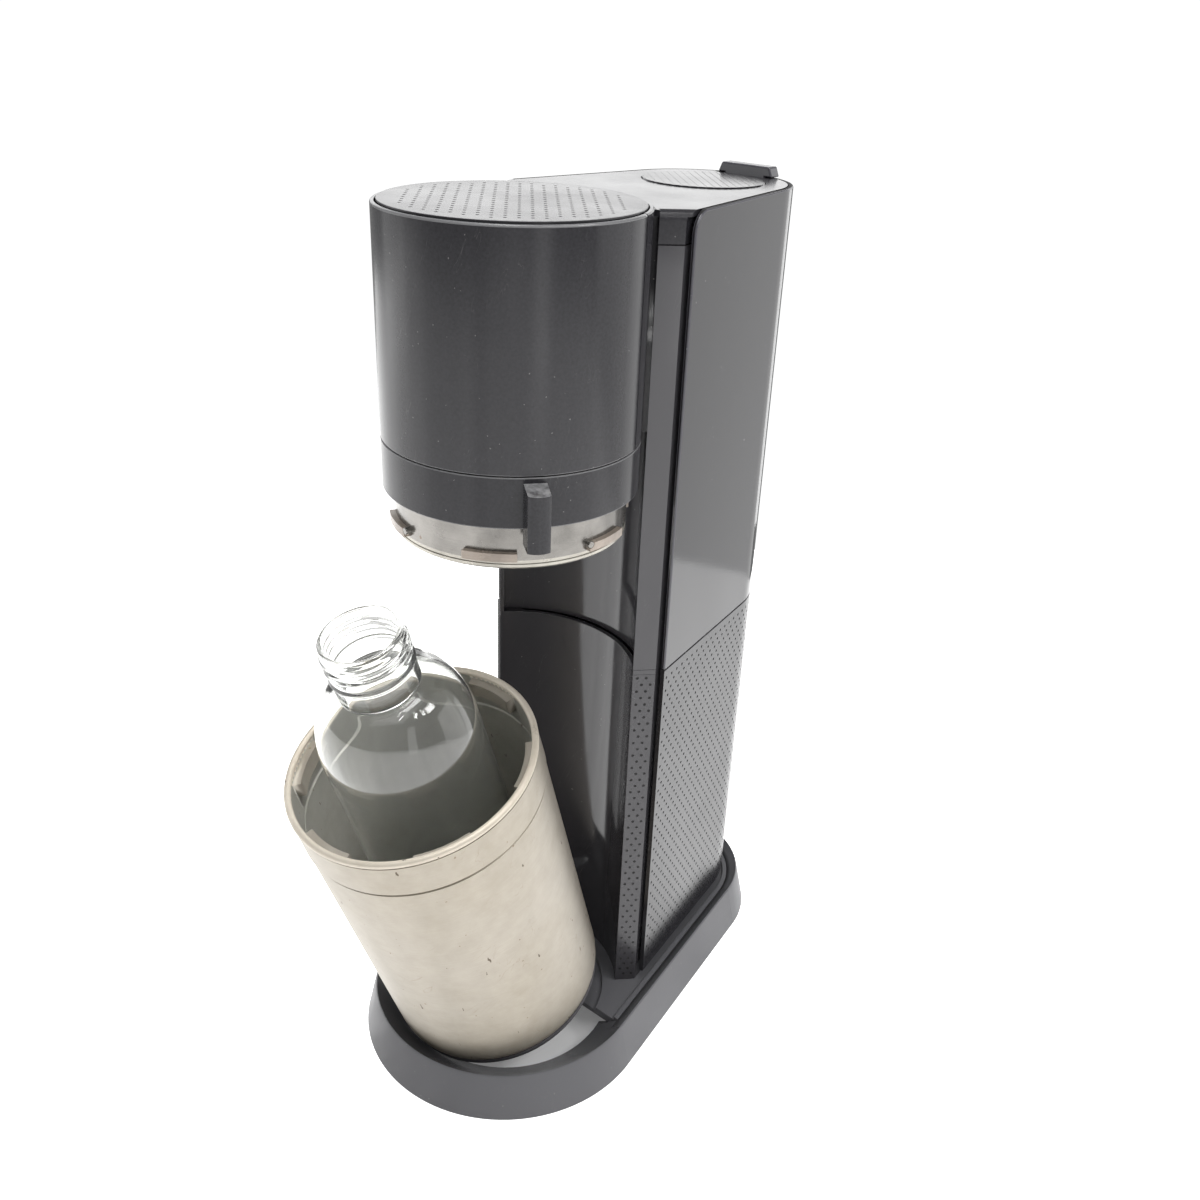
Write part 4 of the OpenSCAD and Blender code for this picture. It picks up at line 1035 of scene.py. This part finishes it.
class WATERMAKER_OT_head(bpy.types.Operator):
    """Head covers, lock ring with its lever, and the dotted button"""
    bl_idname = "watermaker.head"
    bl_label = "Head"

    def execute(self, context):
        cover = rounded_node("head_front_cover", 0.6 * MM, "head_charcoal", "rim_charcoal")
        # Only the cover's top rim and lower edge keep the painted highlight; the upright rounded faces go back to
        # plain charcoal.
        for face in cover.data.polygons:
            if abs(face.normal.z) < LEVEL:
                face.material_index = 0
        rounded_node("head_rear_shell", 0.4 * MM, "head_charcoal")
        # The ring's rounded edges take a painted highlight.
        rounded_node("lock_ring", 0.5 * MM, "ring_charcoal", "rim_charcoal")
        self.lever()
        self.button()
        self.spring()
        return {"FINISHED"}

    def lever(self):
        """Ring lever with a painted highlight on its rounded edges and a rubbed top."""
        edge, worn = 0.8 * MM, 2 * MM
        piece = soften(joined_copy("ring_lever", "ring_charcoal", "rim_charcoal", "rubbed_charcoal"), edge)
        _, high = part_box("ring_lever")
        for face in piece.data.polygons:
            if face.normal.z > 0.8 and face.center.z > high.z - worn:
                face.material_index = 2
        dress(piece, "ring_lever")

    def button(self):
        """Cap whose top is a disc of staggered dots inside a plain border, just above the head's rim."""
        d = sizes().dots
        low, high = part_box("button_cap")
        proud, border, edge = 0.8 * MM, 2.2 * MM, 0.5 * MM
        high.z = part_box("head_front_cover")[1].z + proud
        radius = (high.x - low.x) / 2
        count = 2 * ceil(radius / d.button_pitch) + 2
        pairs = 2 * ceil(radius / (2 * d.row_step)) + 1
        keep = radius - border - hypot(d.button_pitch, d.row_step) / 2
        # The second finish paints shade into the pits.
        finishes = ("button_charcoal", "pit_dark")
        flat = dot_sheet("button_dots", count, pairs, d.button_pitch, d.depth, finishes, keep)
        for v in flat.verts:
            v.co = HEAD_AXIS + Vector((v.co.x, v.co.y, high.z + v.co.z))
        steps = 160
        outline = [(radius - edge, high.z), (radius - 0.3 * edge, high.z - 0.3 * edge),
                   (radius, high.z - edge), (radius, low.z), (0, low.z)]
        rings = [[HEAD_AXIS + polar(r, 2 * pi * k / steps, z) for k in range(steps)] for r, z in outline]
        flat.from_mesh(mesh_from(loft(rings, stack_closed=False), "button_rest"))
        rims = [e for e in open_edges(flat) if min(v.co.z for v in e.verts) > high.z - 1e-6]
        bmesh.ops.triangle_fill(flat, use_beauty=True, edges=rims, normal=(0, 0, 1))
        merge(flat)
        dotted_piece("button_cap", flat, finishes)

    def spring(self):
        """Round wire coil between the guide and the cap."""
        low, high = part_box("button_spring")
        wire = 0.45 * MM
        coil = (high.x - low.x) / 2 - wire
        turns, steps, sides = 2.5, 48, 10
        rings = []
        count = int(turns * steps)
        for i in range(count + 1):
            angle = 2 * pi * i / steps
            z = low.z + wire + (high.z - low.z - 2 * wire) * i / count
            out = polar(1, angle, 0)
            rings.append([HEAD_AXIS + out * (coil + wire * cos(2 * pi * k / sides))
                          + Vector((0, 0, z + wire * sin(2 * pi * k / sides))) for k in range(sides)])
        coiled = closed_up(loft(rings, stack_closed=False))
        piece = new_object("button_coil", mesh_from(coiled, "button_coil"))
        dress(soften(piece, 0), "button_spring", "inner_steel")
        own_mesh(piece)


class WATERMAKER_OT_collar(bpy.types.Operator):
    """Bayonet collar with its lugs and pins"""
    bl_idname = "watermaker.collar"
    bl_label = "Collar"

    def execute(self, context):
        self.ring()
        rounded_node("collar_pins", 0.4 * MM, "collar_metal")
        return {"FINISHED"}

    def ring(self):
        """Collar with a pale lower band and tan lugs."""
        low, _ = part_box("bayonet_collar")
        wall, proud = 51.8 * MM, 0.2 * MM
        band_top = low.z + 3.9 * MM
        piece = joined_copy("bayonet_collar")
        bm = bmesh.new()
        bm.from_mesh(piece.data)
        bmesh.ops.bisect_plane(bm, geom=bm.verts[:] + bm.edges[:] + bm.faces[:], dist=1e-7,
                               plane_co=(0, 0, band_top), plane_no=(0, 0, 1))
        bm.to_mesh(piece.data)
        bm.free()
        soften(piece, 0.35 * MM)
        for face in piece.data.polygons:
            spot = face.center - HEAD_AXIS
            if face.center.z < band_top:
                face.material_index = 1
            elif hypot(spot.x, spot.y) > wall + proud:
                face.material_index = 2
            else:
                face.material_index = 0
        dress(piece, "bayonet_collar", "collar_metal", "flange_metal", "lug_metal")


class WATERMAKER_OT_canister(bpy.types.Operator):
    """Steel canister with its rolled rim, inner tabs and black foot"""
    bl_idname = "watermaker.canister"
    bl_label = "Canister"

    def execute(self, context):
        c = sizes().canister
        place = canister_place()
        band = c.height - c.band
        top = c.height - 2 * c.bead
        upper = c.rim - 0.4 * MM
        body = upper - 0.5 * MM
        notch, bottom = 0.9 * MM, 1.2 * MM
        corners = [  # radius, height and rounding
            (0, 0, 0), (c.bottom, 0, c.heel), (body, band - 2 * notch, 0.15 * MM),
            (body - notch, band - 1.4 * notch, 0), (body - notch, band - 0.6 * notch, 0),
            (upper, band, 0.25 * MM), (upper, top, 0), (upper - c.wall, top, 0), (upper - c.wall, band, 0),
            (body - 2.5 * c.wall, band - 2 * notch, 0), (c.bottom - c.wall, bottom, c.heel - c.wall),
            (0, bottom, 0)]
        outline = fillet([corner[:2] for corner in corners], [corner[2] for corner in corners])
        shell = lathe("canister_shell_dressed", outline, place, 192)
        self.mark_inside(shell, place)
        dress(soften(shell, 0), "canister_shell", "canister_steel", "inside_steel")
        rim = joined_copy("canister_rim")
        self.mark_inside(rim, place)
        dress(soften(rim, 0), "canister_rim", "rim_steel", "inside_steel", "tab_steel")
        rounded_node("canister_foot", 0.5 * MM, "rubber")
        return {"FINISHED"}

    def mark_inside(self, piece, place):
        """Gives the faces that look towards the axis the second finish, and the inner tabs the third."""
        c = sizes().canister
        away = place.inverted()
        for face in piece.data.polygons:
            centre = away @ face.center
            facing = away.to_3x3() @ face.normal
            reach = hypot(centre.x, centre.y)
            inwards = facing.x * centre.x + facing.y * centre.y < -0.2 * reach
            bottom = facing.z > UPWARD and centre.z < 0.1 * c.height
            bead = centre.z > c.height - 2 * c.bead
            tab = reach < c.rim - 2 * c.bead and centre.z > c.height - c.band
            face.material_index = 2 if tab else 1 if (inwards or bottom) and not bead else 0


class WATERMAKER_OT_carafe(bpy.types.Operator):
    """Glass carafe with a rounded lip, a bead and a running thread"""
    bl_idname = "watermaker.carafe"
    bl_label = "Carafe"

    def execute(self, context):
        c = sizes().carafe
        neck_z = c.height - c.neck_height
        shoulder_z = neck_z - c.shoulder
        heel, lip, row_step = 7 * MM, 1.4 * MM, 0.4 * MM
        inner_body, inner_neck = c.body - c.wall, c.neck - 2 * c.wall
        half_lip = (c.neck - inner_neck) / 2
        deep = c.floor + 5 * MM
        rows = int(c.neck_height / row_step)
        bend = [pi / 2 * step / 8 for step in range(9)]
        slope = [pi / 2 * step / 18 for step in range(19)]
        outer = [(0, c.floor + 3 * MM), (0.55 * c.body, c.floor + 2.2 * MM), (c.body - heel, c.floor)]
        outer += [(c.body - heel + heel * sin(a), c.floor + heel - heel * cos(a)) for a in bend[1:]]
        outer += [(c.neck + (c.body - c.neck) * cos(a), shoulder_z + c.shoulder * sin(a)) for a in slope]
        outer += [(c.neck, neck_z + (c.neck_height - lip) * row / rows) for row in range(1, rows)]
        outer += [(c.neck - half_lip + half_lip * cos(2 * a), c.height - lip + lip * sin(2 * a))
                  for a in bend]
        inner_z = shoulder_z - c.wall / 2
        inner = [(inner_neck + (inner_body - inner_neck) * cos(a), inner_z + c.shoulder * sin(a))
                 for a in reversed(slope)]
        inner += [(inner_body - heel + heel * sin(a), deep + heel - heel * cos(a)) for a in reversed(bend)]
        inner.append((0, deep + 2 * MM))
        bead_z = neck_z + 11 * MM
        thread_z, pitch, turns = c.height - 13.5 * MM, 3 * MM, 3

        def swell(angle, radius, height):
            """Low bead and running thread outside the neck."""
            if radius < c.neck - 0.2 * MM or height < neck_z:
                return 0
            bead = 0.8 * MM * max(0, cos(min(1, abs(height - bead_z) / (2 * MM)) * pi / 2)) ** 2
            along = (height - thread_z) / pitch - angle / (2 * pi)
            run = round(along) + angle / (2 * pi)
            ends = max(0, min(1, run / 0.2, (turns - run) / 0.2))
            return max(bead, ends * c.thread * cos(pi * (along - round(along))) ** 2)

        piece = lathe("glass_carafe_dressed", outer + inner, canister_place(), 128, swell)
        piece.visible_shadow = False
        dress(soften(piece, 0), "glass_carafe", "clear_glass")
        return {"FINISHED"}


class WATERMAKER_OT_works(bpy.types.Operator):
    """Finishes of the inner works, which keep their own shapes"""
    bl_idname = "watermaker.works"
    bl_label = "Inner works"

    def execute(self, context):
        finish_of = {"black_gloss": "gloss_black", "charcoal": "head_charcoal"}
        for name, node in frame["nodes"].items():
            slot = SLOT_OF[name]
            node.data.materials.clear()
            node.data.materials.append(material(finish_of.get(slot, slot)))
        return {"FINISHED"}


STEPS = ("stage", "base", "tower", "back_cover", "head", "collar", "canister", "carafe", "works")


class WATERMAKER_PT_looks(bpy.types.Panel):
    """Lists the steps and the sizes of the looks"""
    bl_idname = "WATERMAKER_PT_looks"
    bl_label = "Water maker"
    bl_space_type = "VIEW_3D"
    bl_region_type = "UI"
    bl_category = "Water maker"

    def draw(self, context):
        looks = context.scene.water_maker
        for step in STEPS:
            self.layout.operator("watermaker." + step)
        for part in ("outline", "dots", "canister", "carafe", "colours"):
            box = self.layout.box()
            group_of = getattr(looks, part)
            for key in group_of.__annotations__:
                box.prop(group_of, key)


CLASSES = (OutlineSizes, DotSizes, CanisterSizes, CarafeSizes, FinishColours, WaterMaker, WATERMAKER_OT_stage,
           WATERMAKER_OT_base, WATERMAKER_OT_tower, WATERMAKER_OT_back_cover, WATERMAKER_OT_head,
           WATERMAKER_OT_collar, WATERMAKER_OT_canister, WATERMAKER_OT_carafe, WATERMAKER_OT_works,
           WATERMAKER_PT_looks)


def register():
    for one in CLASSES:
        bpy.utils.register_class(one)
    bpy.types.Scene.water_maker = bpy.props.PointerProperty(type=WaterMaker)


def unregister():
    del bpy.types.Scene.water_maker
    for one in reversed(CLASSES):
        bpy.utils.unregister_class(one)


def main():
    register()
    for step in STEPS:
        getattr(bpy.ops.watermaker, step)()


if __name__ == "__main__":
    main()
